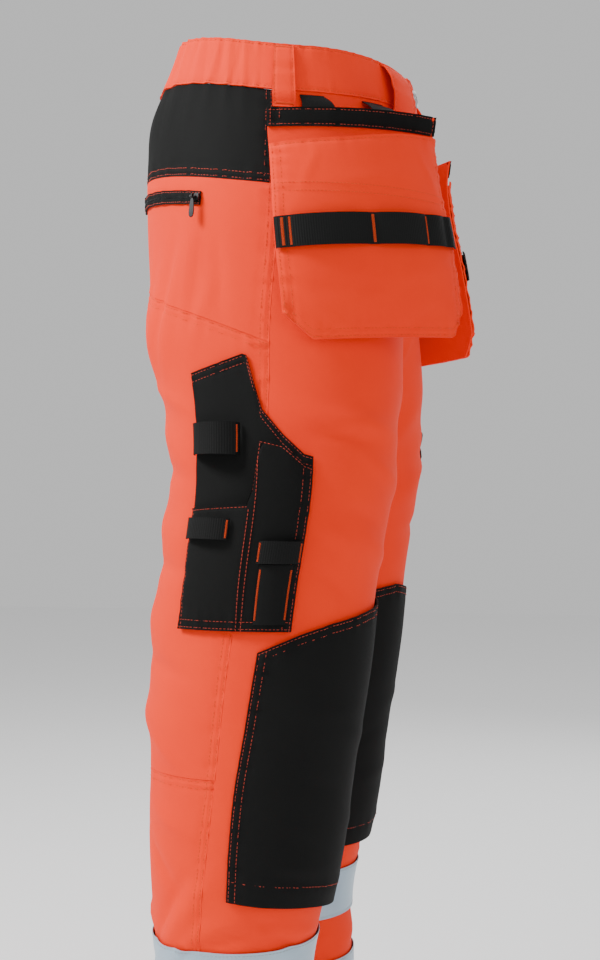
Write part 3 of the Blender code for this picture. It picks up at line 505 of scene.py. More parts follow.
def wall(name: str, outer: Array, inner: Array, flat: Array, look: Look,
         ring: bool = False) -> bpy.types.Object:
    """Closed wall between two grids of points, rows by columns.

    Args:
        name: object's name.
        outer: points of the outer face.
        inner: points of the inner face.
        flat: places on the cut, in metres.
        look: slot and material.
        ring: whether the last column joins the first.

    Returns:
        The wall's object.
    """
    rows, columns = outer.shape[:2]
    edge = np.cross(outer[:-1, 1:] - outer[:-1, :-1], outer[1:, :-1] - outer[:-1, :-1])
    flipped = np.sum(edge * (outer - inner)[:-1, :-1]) > 0
    number = np.arange(rows * columns).reshape(rows, columns)
    wide = np.hstack([number, number[:, :1]]) if ring else number
    back = rows * columns
    quads = np.stack([wide[:-1, :-1], wide[1:, :-1], wide[1:, 1:], wide[:-1, 1:]], -1)
    quads = quads.reshape(-1, 4)
    rims = [(wide[0, :-1], wide[0, 1:]), (wide[-1, 1:], wide[-1, :-1])]
    if not ring:
        rims += [(wide[1:, 0], wide[:-1, 0]), (wide[:-1, -1], wide[1:, -1])]
    sides = [np.stack([a, b, b + back, a + back], -1) for a, b in rims]
    faces = np.concatenate([quads, quads[:, ::-1] + back, *sides])
    if flipped:
        faces = faces[:, ::-1]
    places = flat.reshape(-1, 2)
    return put_mesh(name, np.concatenate([outer.reshape(-1, 3), inner.reshape(-1, 3)]),
                    faces.tolist(), np.concatenate([places, places]), look)


def shell(name: str, surface: Cloth | Hanging, across: Array, z: Array, lift: Array,
          thickness: float, look: Look, ring: bool = False) -> bpy.types.Object:
    """Thin closed cloth wall over a grid of places.

    Args:
        name: object's name.
        surface: surface that the grid lies on.
        across: places across, rows by columns.
        z: heights.
        lift: how far the inner face stands off the surface.
        thickness: thickness of the cloth.
        look: slot and material.
        ring: whether the last column joins the first.

    Returns:
        The wall's object.
    """
    flat = np.stack([surface.metres(across) + 0 * z, z], -1)
    return wall(name, surface.at(across, z, lift + thickness), surface.at(across, z, lift), flat,
                look, ring)


class NodeKit:
    """Short hand for building a shader node tree."""

    def __init__(self, tree: bpy.types.NodeTree) -> None:
        self.tree = tree

    def add(self, kind: str, inputs: dict | None = None, **settings) -> bpy.types.Node:
        """Add a node, set its properties, and set or link its inputs."""
        node = self.tree.nodes.new(kind)
        for key, value in settings.items():
            setattr(node, key, value)
        for key, value in (inputs or {}).items():
            if isinstance(value, bpy.types.NodeSocket):
                self.tree.links.new(value, node.inputs[key])
            else:
                node.inputs[key].default_value = value
        return node

    def math(self, operation: str, first, second=0.0, third=0.0) -> bpy.types.NodeSocket:
        """Add a math node and return its result."""
        return self.add("ShaderNodeMath", {0: first, 1: second, 2: third},
                        operation=operation).outputs[0]

    def blend(self, factor, first: tuple, second: tuple) -> bpy.types.NodeSocket:
        """Mix two colours and return the result."""
        node = self.add("ShaderNodeMix", data_type="RGBA")
        self.tree.links.new(factor, node.inputs[0])
        node.inputs[6].default_value = (*first, 1)
        node.inputs[7].default_value = (*second, 1)
        return node.outputs[2]


class ClothGroups:
    """Node groups shared by the materials of the cloth."""

    def __init__(self) -> None:
        self.weave = self._weave()
        self.grain = self._grain()

    def _start(self, name: str, sockets: Sequence[tuple[str, str, float | None]]):
        """Make a group with float inputs, or outputs where the default is None."""
        group = bpy.data.node_groups.new(name, "ShaderNodeTree")
        for label, kind, default in sockets:
            way = "OUTPUT" if default is None else "INPUT"
            socket = group.interface.new_socket(name=label, in_out=way, socket_type=kind)
            if default is not None:
                socket.default_value = default
        kit = NodeKit(group)
        return group, kit, kit.add("NodeGroupInput"), kit.add("NodeGroupOutput")

    def _weave(self) -> bpy.types.NodeTree:
        """Threads of a cloth: slanting twill ribs crossed by the weft."""
        value = "NodeSocketFloat"
        group, kit, start, end = self._start("Weave", [
            ("Rib Pitch", value, 0.0011), ("Slant", value, 1.0), ("Weft", value, 0.35),
            ("Height", value, None)])
        place = kit.add("ShaderNodeSeparateXYZ",
                        {"Vector": kit.add("ShaderNodeUVMap", uv_map="cut").outputs["UV"]})
        turns = kit.math("DIVIDE", 2 * math.pi, start.outputs["Rib Pitch"])
        slanting = kit.math("MULTIPLY_ADD", place.outputs["Y"], start.outputs["Slant"],
                            place.outputs["X"])
        rib = kit.math("SINE", kit.math("MULTIPLY", slanting, turns))
        weft = kit.math("SINE", kit.math("MULTIPLY", place.outputs["Y"],
                                         kit.math("MULTIPLY", turns, 1.4)))
        height = kit.math("MULTIPLY_ADD", weft, start.outputs["Weft"], rib)
        self.link(kit, kit.math("MULTIPLY_ADD", height, 0.35, 0.5), end, "Height")
        return group

    def _grain(self) -> bpy.types.NodeTree:
        """Uneven tone of a worn, washed cloth, from broad patches to thread slubs."""
        value = "NodeSocketFloat"
        group, kit, start, end = self._start("Grain", [
            ("Patches", value, 14.0), ("Slubs", value, 900.0), ("Tone", value, None),
            ("Fuzz", value, None)])
        where = kit.add("ShaderNodeTexCoord").outputs["Object"]
        broad = kit.add("ShaderNodeTexNoise", {
            "Vector": where, "Scale": start.outputs["Patches"], "Detail": 4.0})
        fine = kit.add("ShaderNodeTexNoise", {
            "Vector": where, "Scale": start.outputs["Slubs"], "Detail": 2.0})
        tone = kit.math("MULTIPLY_ADD", fine.outputs["Fac"], 0.3, broad.outputs["Fac"])
        self.link(kit, kit.math("SUBTRACT", tone, 0.15), end, "Tone")
        self.link(kit, fine.outputs["Fac"], end, "Fuzz")
        return group

    @staticmethod
    def link(kit: NodeKit, result: bpy.types.NodeSocket, end: bpy.types.Node, name: str) -> None:
        """Send a result out of the group."""
        kit.tree.links.new(result, end.inputs[name])


@dataclass
class ClothRecipe:
    """Numbers of a cloth's material.

    Attributes:
        dark: colour in the hollows of its tone.
        light: colour on the rises of its tone.
        roughness: roughness of the threads.
        sheen: strength of the fuzz.
        pitch: spacing of its ribs in metres.
        slant: slope of its ribs, 0 for upright ones.
        weft: strength of the cross threads.
        depth: depth of the threads in metres.
        gloss: strength of the mirror-like part of its light.
    """

    dark: tuple[float, float, float]
    light: tuple[float, float, float]
    roughness: float
    sheen: float
    pitch: float
    slant: float
    weft: float
    depth: float
    gloss: float = 0.15


RECIPES = {
    "twill": ClothRecipe((0.86, 0.022, 0.0004), (1.0, 0.040, 0.0008), 0.78, 0.03, 0.0010, 1.0,
                         0.35, 0.00012),
    "canvas": ClothRecipe((0.0018, 0.002, 0.0018), (0.0045, 0.0047, 0.0044), 0.78, 0.0, 0.0009,
                          0.9, 0.9, 0.00012),
    "webbing": ClothRecipe((0.0015, 0.0016, 0.0015), (0.006, 0.0062, 0.006), 0.68, 0.0, 0.0018,
                           0.0, 0.3, 0.00030),
    "orange_thread": ClothRecipe((0.60, 0.045, 0.006), (0.85, 0.075, 0.010), 0.6, 0.1, 0.0006,
                                 1.0, 0.0, 0.00003),
    "contrast_thread": ClothRecipe((0.30, 0.030, 0.018), (0.50, 0.055, 0.030), 0.6, 0.1,
                                   0.0006, 1.0, 0.0, 0.00003),
    "silver_thread": ClothRecipe((0.30, 0.34, 0.38), (0.50, 0.55, 0.60), 0.5, 0.1, 0.0006, 1.0,
                                 0.0, 0.00003),
}


class Materials:
    """Every material of the scene."""

    def __init__(self) -> None:
        self.groups = ClothGroups()
        self.twill = Look(Slot.TWILL, self.cloth("twill"))
        self.canvas = Look(Slot.CANVAS, self.cloth("canvas"))
        self.webbing = Look(Slot.WEBBING, self.cloth("webbing"))
        self.orange_thread = Look(Slot.TWILL, self.cloth("orange_thread"))
        self.contrast_thread = Look(Slot.CANVAS, self.cloth("contrast_thread"))
        self.silver_thread = Look(Slot.TAPE, self.cloth("silver_thread"))
        self.tape = Look(Slot.TAPE, self.reflective())
        self.zip = Look(Slot.ZIP, self.metal("zip_black", (0.02, 0.02, 0.021), 0.6, 0.38))
        self.button = Look(Slot.BUTTON, self.metal("button_steel", (0.36, 0.36, 0.37), 1.0, 0.30))

    def cloth(self, name: str) -> bpy.types.Material:
        """Woven material from a recipe."""
        recipe = RECIPES[name]
        material, kit, shader = self.start(name)
        grain = kit.add("ShaderNodeGroup", node_tree=self.groups.grain)
        weave = kit.add("ShaderNodeGroup", {"Rib Pitch": recipe.pitch, "Slant": recipe.slant,
                                            "Weft": recipe.weft}, node_tree=self.groups.weave)
        shade = kit.math("MULTIPLY_ADD", weave.outputs["Height"], 0.5, 0.25)
        tone = kit.math("ADD", kit.math("MULTIPLY", grain.outputs["Tone"], 0.8),
                        kit.math("SUBTRACT", shade, 0.4))
        colour = kit.blend(tone, recipe.dark, recipe.light)
        rough = kit.math("MULTIPLY_ADD", grain.outputs["Fuzz"], 0.16, recipe.roughness - 0.08)
        relief = kit.math("MULTIPLY_ADD", grain.outputs["Fuzz"], 0.5, weave.outputs["Height"])
        bump = kit.add("ShaderNodeBump", {"Height": relief, "Distance": recipe.depth,
                                          "Strength": 0.8})
        for socket, result in (("Base Color", colour), ("Roughness", rough),
                               ("Normal", bump.outputs["Normal"])):
            kit.tree.links.new(result, shader.inputs[socket])
        shader.inputs["Sheen Weight"].default_value = recipe.sheen
        shader.inputs["Sheen Roughness"].default_value = 0.45
        shader.inputs["Specular IOR Level"].default_value = recipe.gloss
        return material

    def reflective(self) -> bpy.types.Material:
        """Silver tape of fine glass beads with a faint woven grid."""
        material, kit, shader = self.start("silver_tape")
        weave = kit.add("ShaderNodeGroup", {"Rib Pitch": 0.0013, "Slant": 0.0, "Weft": 1.0},
                        node_tree=self.groups.weave)
        grain = kit.add("ShaderNodeGroup", {"Patches": 30.0, "Slubs": 1600.0},
                        node_tree=self.groups.grain)
        tone = kit.math("MULTIPLY_ADD", weave.outputs["Height"], 0.35,
                        kit.math("MULTIPLY", grain.outputs["Tone"], 0.6))
        colour = kit.blend(tone, (0.26, 0.36, 0.44), (0.46, 0.58, 0.68))
        bump = kit.add("ShaderNodeBump", {"Height": weave.outputs["Height"],
                                          "Distance": 0.00008, "Strength": 0.6})
        kit.tree.links.new(colour, shader.inputs["Base Color"])
        kit.tree.links.new(bump.outputs["Normal"], shader.inputs["Normal"])
        shader.inputs["Roughness"].default_value = 0.38
        shader.inputs["Metallic"].default_value = 0.25
        return material

    def metal(self, name: str, colour: tuple, metallic: float,
              roughness: float) -> bpy.types.Material:
        """Metal or enamel with a slightly uneven face."""
        material, kit, shader = self.start(name)
        grain = kit.add("ShaderNodeGroup", {"Patches": 220.0, "Slubs": 2400.0},
                        node_tree=self.groups.grain)
        rough = kit.math("MULTIPLY_ADD", grain.outputs["Tone"], 0.2, roughness - 0.1)
        bump = kit.add("ShaderNodeBump", {"Height": grain.outputs["Fuzz"],
                                          "Distance": 0.00002, "Strength": 0.5})
        kit.tree.links.new(rough, shader.inputs["Roughness"])
        kit.tree.links.new(bump.outputs["Normal"], shader.inputs["Normal"])
        shader.inputs["Base Color"].default_value = (*colour, 1)
        shader.inputs["Metallic"].default_value = metallic
        return material

    @staticmethod
    def start(name: str):
        """Make a material and return it with its node kit and its Principled shader."""
        material = bpy.data.materials.new(name)
        material.use_nodes = True
        return material, NodeKit(material.node_tree), material.node_tree.nodes["Principled BSDF"]


class Row(NamedTuple):
    """Row of stitches along an edge of a panel.

    Attributes:
        edge: "top", "bottom", "start", "end", "level" or "across".
        offset: distance in from the edge, or the height or the place across.
        first: fraction along the edge where the row starts.
        last: fraction along the edge where the row ends.
    """

    edge: str
    offset: float
    first: float = 0.004
    last: float = 0.996


class Cut(NamedTuple):
    """Flat size of a piece before it was sewn."""

    width: float
    length: float
    area: float
    held: str = "hung"


class Thread:
    """Stitches of one thread, gathered into one object."""

    stations = np.array([-0.5, -0.28, 0.28, 0.5])
    swell = np.array([0.45, 1.0, 1.0, 0.45])
    rise = np.array([-0.9, 0.55, 0.55, -0.9])
    sides = 4

    def __init__(self, name: str, look: Look) -> None:
        self.name = name
        self.look = look
        self.points: list[Array] = []

    def row(self, path: Array, outward: Array, pitch: float = 0.0034, length: float = 0.0027,
            thick: float = 0.00034, crosswise: bool = False) -> None:
        """Add stitches along a path.

        Args:
            path: points of the path.
            outward: directions that leave the cloth at those points.
            pitch: distance from stitch to stitch.
            length: length of a stitch.
            thick: radius of the thread.
            crosswise: whether the stitches lie across the path.
        """
        gaps = np.linalg.norm(np.diff(path, axis=0), axis=1)
        run = np.concatenate([[0.0], np.cumsum(gaps)])
        centres = np.arange(pitch / 2, run[-1], pitch)
        if len(centres) == 0:
            return

        def read(values: Array, where: Array) -> Array:
            return np.stack([np.interp(where, run, values[:, k]) for k in range(3)], -1)

        middle, normal = read(path, centres), read(outward, centres)
        normal /= np.linalg.norm(normal, axis=1, keepdims=True)
        ahead = read(path, centres + pitch / 3) - read(path, centres - pitch / 3)
        ahead /= np.linalg.norm(ahead, axis=1, keepdims=True)
        beside = np.cross(normal, ahead)
        if crosswise:
            ahead, beside = beside, ahead
        turns = 2 * math.pi * (np.arange(self.sides) + 0.5) / self.sides
        swell, rise = self.swell[:, None] * thick, self.rise[:, None] * thick
        grid = [axis[:, None, None, :] for axis in (middle, ahead, beside, normal)]
        along = (self.stations * length)[None, :, None, None]
        over = (swell * np.cos(turns))[None, :, :, None]
        high = (rise + swell * np.sin(turns))[None, :, :, None]
        self.points.append((grid[0] + grid[1] * along + grid[2] * over
                            + grid[3] * high).reshape(-1, 3))

    def build(self) -> bpy.types.Object:
        """Make the object that holds every stitch."""
        points = np.concatenate(self.points)
        rings, sides = len(self.stations), self.sides
        one = []
        for ring in range(rings - 1):
            for k in range(sides):
                a, b = ring * sides + k, ring * sides + (k + 1) % sides
                one.append((a, b, b + sides, a + sides))
        starts = np.arange(len(points) // (rings * sides)) * rings * sides
        faces = (np.array(one)[None] + starts[:, None, None]).reshape(-1, 4)
        return put_mesh(self.name, points, faces.tolist(), points[:, :2], self.look)


@dataclass
class Panel:
    """Cut piece between a start, an end, a top and a bottom edge.

    Attributes:
        node: CAD node that the piece stands for.
        surface: surface that it lies on.
        start: its edge at the lower end of across, a function of the height.
        end: its other side edge.
        top: its top edge, a function of across.
        bottom: its bottom edge.
        lift: how far its inner face stands off, a function of across and height.
        thickness: its thickness.
        look: its slot and material.
        cut: its flat size; not used.
        rows: its rows of stitches.
        pitch: size of its mesh.
    """

    node: str
    surface: Cloth | Hanging
    start: Edge
    end: Edge
    top: Edge
    bottom: Edge
    lift: Callable[[Array, Array], Array]
    thickness: float
    look: Look
    cut: Cut
    rows: tuple[Row, ...] = ()
    pitch: float = 0.0045

    groove = 0.0006
    groove_width = 0.0011
    pucker = 0.0008
    pucker_reach = 0.006
    pucker_pitch = 0.0125
    edge_steps = (0.0012, 0.0024, 0.0038, 0.0055, 0.0075)

    @property
    def per_metre(self) -> float:
        """Amount of across in a metre."""
        return 1.0 / float(self.surface.metres(np.array(1.0)))

    def fractions(self, size: float) -> Array:
        """Fractions along a side, closer together near its ends."""
        inner = np.linspace(0, 1, max(int(size / self.pitch), 2) + 1)
        near = np.array([step for step in self.edge_steps if step < size * 0.4]) / size
        last = near[-1] if len(near) else 0.0
        inner = inner[(inner > last * 1.3) & (inner < 1 - last * 1.3)]
        return np.concatenate([[0.0], near, inner, 1 - near[::-1], [1.0]])

    def seam_relief(self, across: Array, z: Array) -> Array:
        """Grooves under the stitch rows and the puckers beside them."""
        total = np.zeros(np.shape(across + z))
        scale = 1 / self.per_metre
        ways = {
            "top": lambda: (self.top(across) - z, across * scale),
            "bottom": lambda: (z - self.bottom(across), across * scale),
            "start": lambda: ((across - self.start(z)) * scale, z),
            "end": lambda: ((self.end(z) - across) * scale, z),
        }
        for row in self.rows:
            if row.edge not in ways:
                continue
            distance, run = ways[row.edge]()
            total = total - self.groove * np.exp(-((distance - row.offset)
                                                   / self.groove_width) ** 2)
            phase = run / self.pucker_pitch * 2 * math.pi
            wave = np.sin(phase + 1.3 * np.sin(phase * 0.37)) * np.sin(phase * 0.23 + 1.0)
            total = total + self.pucker * wave * np.exp(-np.abs(distance - row.offset)
                                                        / self.pucker_reach)
        return total

    def height(self, across: Array, z: Array) -> Array:
        """Lift of the inner face with the seams' relief."""
        return self.lift(across, z) + self.seam_relief(across, z)

    def grid(self) -> tuple[Array, Array]:
        """Places across and heights of the mesh."""
        z = np.array((self.top(np.array(180.0)) + self.bottom(np.array(180.0))) / 2)
        wide = float(abs(self.end(z) - self.start(z))) / self.per_metre
        middle = (self.start(z) + self.end(z)) / 2
        tall = float(self.top(middle) - self.bottom(middle))
        u, v = np.meshgrid(self.fractions(wide), self.fractions(tall))
        z = np.full(u.shape, float((self.top(middle) + self.bottom(middle)) / 2))
        for _ in range(5):
            across = self.start(z) + (self.end(z) - self.start(z)) * u
            z = self.top(across) + (self.bottom(across) - self.top(across)) * v
        return across, z

    def path(self, row: Row) -> tuple[Array, Array]:
        """Points of a stitch row on the outer face, and the directions that leave it."""
        t = np.linspace(row.first, row.last, 260)
        if row.edge in ("top", "bottom", "level"):
            z = np.full(t.shape, row.offset)
            sign = {"top": -1, "bottom": 1}.get(row.edge)
            if sign:
                edge = self.top if sign < 0 else self.bottom
                z = np.full(t.shape, float(edge(np.array(180.0))))
            for _ in range(4):
                across = self.start(z) + (self.end(z) - self.start(z)) * t
                z = edge(across) + sign * row.offset if sign else z
        else:
            across = np.full(t.shape, row.offset)
            sign = {"start": 1, "end": -1}.get(row.edge)
            side = self.start if sign == 1 else self.end
            if sign:
                across = np.full(t.shape, float(side((self.top(np.array(180.0))
                                                      + self.bottom(np.array(180.0))) / 2)))
            for _ in range(4):
                z = self.top(across) + (self.bottom(across) - self.top(across)) * t
                across = side(z) + sign * row.offset * self.per_metre if sign else across
        return self.face(across, z, self.height(across, z))

    def face(self, across: Array, z: Array, lift: Array) -> tuple[Array, Array]:
        """Points of the outer face over an inner lift, and the directions that leave it."""
        outer = lift + self.thickness
        place = self.surface.at(across, z, outer)
        return place, self.surface.at(across, z, outer + OUTWARD_STEP) - place

    def build(self, thread: Thread | None = None) -> bpy.types.Object:
        """Make the piece, with its stitches in a thread's object."""
        across, z = self.grid()
        made = shell(f"{self.node}_cloth", self.surface, across, z, self.height(across, z),
                     self.thickness, self.look)
        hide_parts(self.node)
        for row in self.rows:
            if thread:
                thread.row(*self.path(row))
        return made


def fixed(value: float) -> Edge:
    """Edge at one place."""
    return lambda other: value + 0 * other


def level(value: float) -> Edge:
    """Edge that follows one level of the cloth."""
    return lambda across: FORM.climb(across, value)


def outline(corners: Sequence[tuple[float, float]]) -> Edge:
    """Edge through corners of across and height."""
    places, heights = zip(*corners)
    return lambda across: np.interp(across, places, heights)


def lowered(edge: Edge, gap: float = SEAM_GAP) -> Edge:
    """Edge moved down by a gap."""
    return lambda across: edge(across) - gap


def side_seam(offset: float) -> Edge:
    """Side seam, offset metres behind it."""
    return lambda z: column(SIDE_SEAM, "angle", z) + math.degrees(offset / SEAM_ARC)


def centre_seam(side: Side, front: bool) -> Edge:
    """Centre seam and the inside leg seam below it."""
    return lambda z: FORM.centre(side, z, front)


def band_bottom(across: Array) -> Array:
    """Lower edge of the waistband."""
    front = 1 - smoothstep(60, 140, across)
    return FORM.climb(across, -BAND_HEIGHT + (BAND_HEIGHT - BAND_HEIGHT_FRONT) * front)


def seat_seam(across: Array) -> Array:
    """Slanting seam under the seat."""
    return -0.262 + 0.090 * (across - 174) / 141


def flush(thickness: float) -> Callable[[Array, Array], Array]:
    """Lift of a panel whose outer face is the cloth's own face."""
    return lambda across, z: -thickness + 0 * (across + z)


class Gather(NamedTuple):
    """Upright crease of the elastic waist."""

    angle: float
    width: float
    height: float
    lean: float


GATHERS = [
    Gather(196, 1.7, 0.0009, 20), Gather(202, 1.5, -0.0009, -25), Gather(208, 2.0, 0.0012, 30),
    Gather(215, 1.6, -0.0010, 10), Gather(221, 2.1, 0.0013, -30), Gather(228, 1.6, -0.0010, 24),
    Gather(235, 2.2, 0.0012, 14), Gather(243, 1.8, -0.0009, -20), Gather(251, 2.3, 0.0012, 26),
    Gather(260, 2.0, -0.0008, 8), Gather(268, 2.5, 0.0010, -22), Gather(277, 2.2, -0.0007, 16),
    Gather(286, 2.6, 0.0009, 20), Gather(296, 2.4, -0.0006, -14),
]


def gathered(across: Array, z: Array) -> Array:
    """Creases that the elastic makes at the back of the waist."""
    total = np.zeros(np.shape(across + z))
    for crease in GATHERS:
        turn = across - crease.angle - crease.lean * (z + 0.02) / 0.042 * 0.12
        total = total + crease.height * np.exp(-(turn / crease.width) ** 2)
    return total * (1 - smoothstep(0.0, 0.05, -z - 0.04))


HOLSTER_TOP = [(0.0, -0.059), (1.0, -0.053)]
HOLSTER_BOTTOM = [(0.0, -0.238), (0.13, -0.260), (0.93, -0.252), (1.0, -0.229)]
HOLSTER_MOUTH = [(0.0, -0.0925), (0.35, -0.087), (0.7, -0.078), (1.0, -0.0735)]
WEBBING_TOP = [(0.0, -0.157), (1.0, -0.145)]
WEBBING_HEIGHT = 0.027
HOLSTER_BAND = 0.017
POUCH_DEPTH = 0.015
TOOL_TOP = [(145, -0.362), (157, -0.357), (169, -0.340), (181, -0.318), (184, -0.300),
            (188, -0.270), (206, -0.279), (226, -0.288)]
TOOL_MOUTH = [(145, -0.372), (157, -0.366), (169, -0.350), (180, -0.346), (184, -0.400),
              (226, -0.404)]
TOOL_BOTTOM = -0.506
KNEE_TOP = [(20, -0.496), (53, -0.488), (73, -0.484), (103, -0.492), (128, -0.500),
            (145, -0.508), (172, -0.525)]
KNEE_BOTTOM = [(20, -0.752), (87, -0.750), (123, -0.742), (176, -0.734)]
KNEE_OUTER = [AngleRow(-0.480, 169.0), AngleRow(-0.525, 170.0), AngleRow(-0.580, 173.0),
              AngleRow(-0.640, 177.0), AngleRow(-0.690, 177.0), AngleRow(-0.760, 175.0)]
KNEE_INNER = 22.0
LAID_ON = 0.0011
TOOL_START, TOOL_END = 152.0, 221.0
CARGO_START, CARGO_END = 112.0, 186.0
CARGO_TOP, CARGO_BOTTOM = -0.334, -0.476
FLAP_TOP, FLAP_BOTTOM = -0.324, -0.368
WELT_START, WELT_END = 215.0, 285.0
WELT_TOP, WELT_BOTTOM = -0.139, -0.1505
TAPE_TOPS = {"upper": -0.778, "lower": -0.872}
TAPE_WIDTH = 0.050
LAP_ANGLE = 42.0
LAP_CLEARANCE = 0.0013
BAND_OUT = 0.0015
BAND_IN = 0.0010


class WebLoop(NamedTuple):
    """Raised tool loop of the webbing."""

    start: float
    end: float
    height: float


WEB_LOOPS = [WebLoop(0.07, 0.44, 0.0035), WebLoop(0.47, 0.76, 0.0045),
             WebLoop(0.76, 0.90, 0.0030), WebLoop(0.90, 0.975, 0.0025)]
BARTACKS = (0.035, 0.07, 0.455, 0.76, 0.90, 0.975)


class Strap(NamedTuple):
    """Strap that carries a holster."""

    name: str
    angle_back: float
    angle_front: float
    across_back: float
    across_front: float


STRAPS = [Strap("back", 156.0, 140.0, 0.18, 0.37), Strap("front", 112.0, 95.0, 0.60, 0.77)]


class BeltLoop(NamedTuple):
    """Belt loop between its two sewn ends."""

    start: float
    end: float
    top: float
    bottom: float
    stand: float
    cut: Cut


SIDE_LOOP = BeltLoop(159.0, 174.0, -0.001, -0.058, 0.0030, Cut(0.0215, 0.0585, 0.00125))
FRONT_LOOP = BeltLoop(68.0, 89.0, -0.001, -0.052, 0.0085, Cut(0.0405, 0.067, 0.00270))
BACK_LOOP = BeltLoop(302.0, 309.5, -0.001, -0.056, 0.0085, Cut(0.0250, 0.069, 0.00172))


def swell(u: Array, v: Array, height: float, power: float = 0.6) -> Array:
    """Rise of a pocket's face in its middle, open at its top."""
    return height * np.clip(np.sin(np.pi * u), 0, 1) ** power * (1 - v ** 2.5)


def pouch_lift(across: Array, z: Array) -> Array:
    """Stand of a holster pouch's inner face off the back layer."""
    top, bottom = outline(HOLSTER_MOUTH)(across), outline(HOLSTER_BOTTOM)(across)
    fall = np.clip((top - z) / (top - bottom), 0.0, 1.0)
    edge = np.clip(across * (1 - across) * 4, 0.0, 1.0) ** 0.55
    return CLOTH + 3 * SEAM_GAP + POUCH_DEPTH * edge * (1 - fall ** 2.2)


POUCH_CREASES = [
    Crease(0.16, -0.120, 26, 0.022, 0.0035, 0.0012),
    Crease(0.10, -0.135, 30, 0.020, 0.004, -0.0010),
    Crease(0.55, -0.118, 80, 0.045, 0.006, 0.0010),
    Crease(0.62, -0.205, 70, 0.050, 0.009, 0.0012),
    Crease(0.35, -0.215, 84, 0.045, 0.007, -0.0012),
    Crease(0.75, -0.235, 60, 0.030, 0.005, -0.0009),
    Crease(0.86, -0.110, -30, 0.022, 0.004, 0.0010),
    Crease(0.22, -0.240, -50, 0.025, 0.004, 0.0008),
]
KNEE_CREASES = [
    Crease(140, -0.716, 82, 0.034, 0.0040, -0.0016),
    Crease(140, -0.705, 80, 0.040, 0.0060, 0.0012),
    Crease(148, -0.665, 66, 0.045, 0.0070, 0.0014),
    Crease(120, -0.640, 74, 0.040, 0.0080, -0.0012),
    Crease(130, -0.575, 84, 0.040, 0.0080, 0.0012),
    Crease(95, -0.600, 78, 0.040, 0.0080, 0.0012),
    Crease(150, -0.610, 50, 0.030, 0.0060, -0.0010),
    Crease(70, -0.680, 80, 0.040, 0.0070, 0.0014),
    Crease(55, -0.640, 70, 0.035, 0.0060, -0.0012),
    Crease(100, -0.728, 86, 0.035, 0.0045, 0.0012),
    Crease(158, -0.735, 60, 0.020, 0.0040, 0.0012),
]


def creased(creases: Sequence[Crease], surface: Cloth | Hanging, across: Array, z: Array) -> Array:
    """Height of a pocket's own creases."""
    total = np.zeros(np.shape(across + z))
    for crease in creases:
        total = total + ridge(crease, surface.metres(across - crease.across), z - crease.z)
    return total


def webbing_lift(across: Array, z: Array) -> Array:
    """Stand of the tool webbing, with its open loops."""
    raised = 0.0 * across
    for loop in WEB_LOOPS:
        t = np.clip((across - loop.start) / (loop.end - loop.start), 0.0, 1.0)
        raised = raised + loop.height * np.sin(np.pi * t) ** 0.6
    return pouch_lift(across, z) + CLOTH + 2 * SEAM_GAP + 0.0014 + raised


def tool_lift(across: Array, z: Array) -> Array:
    """Stand of the tool pocket's pouch off the leg."""
    mouth = outline(TOOL_MOUTH)(across)
    u = np.clip((across - TOOL_START) / (TOOL_END - TOOL_START), 0, 1)
    v = np.clip((mouth - z) / (mouth - TOOL_BOTTOM), 0, 1)
    return LAID_ON + CLOTH + SEAM_GAP + swell(u, v, 0.011)


def cargo_lift(across: Array, z: Array) -> Array:
    """Stand of the cargo pocket's pouch off the leg."""
    u = np.clip((across - CARGO_START) / (CARGO_END - CARGO_START), 0, 1)
    v = np.clip((CARGO_TOP - z) / (CARGO_TOP - CARGO_BOTTOM), 0, 1)
    return LAID_ON + swell(u, v, 0.009, 0.5)


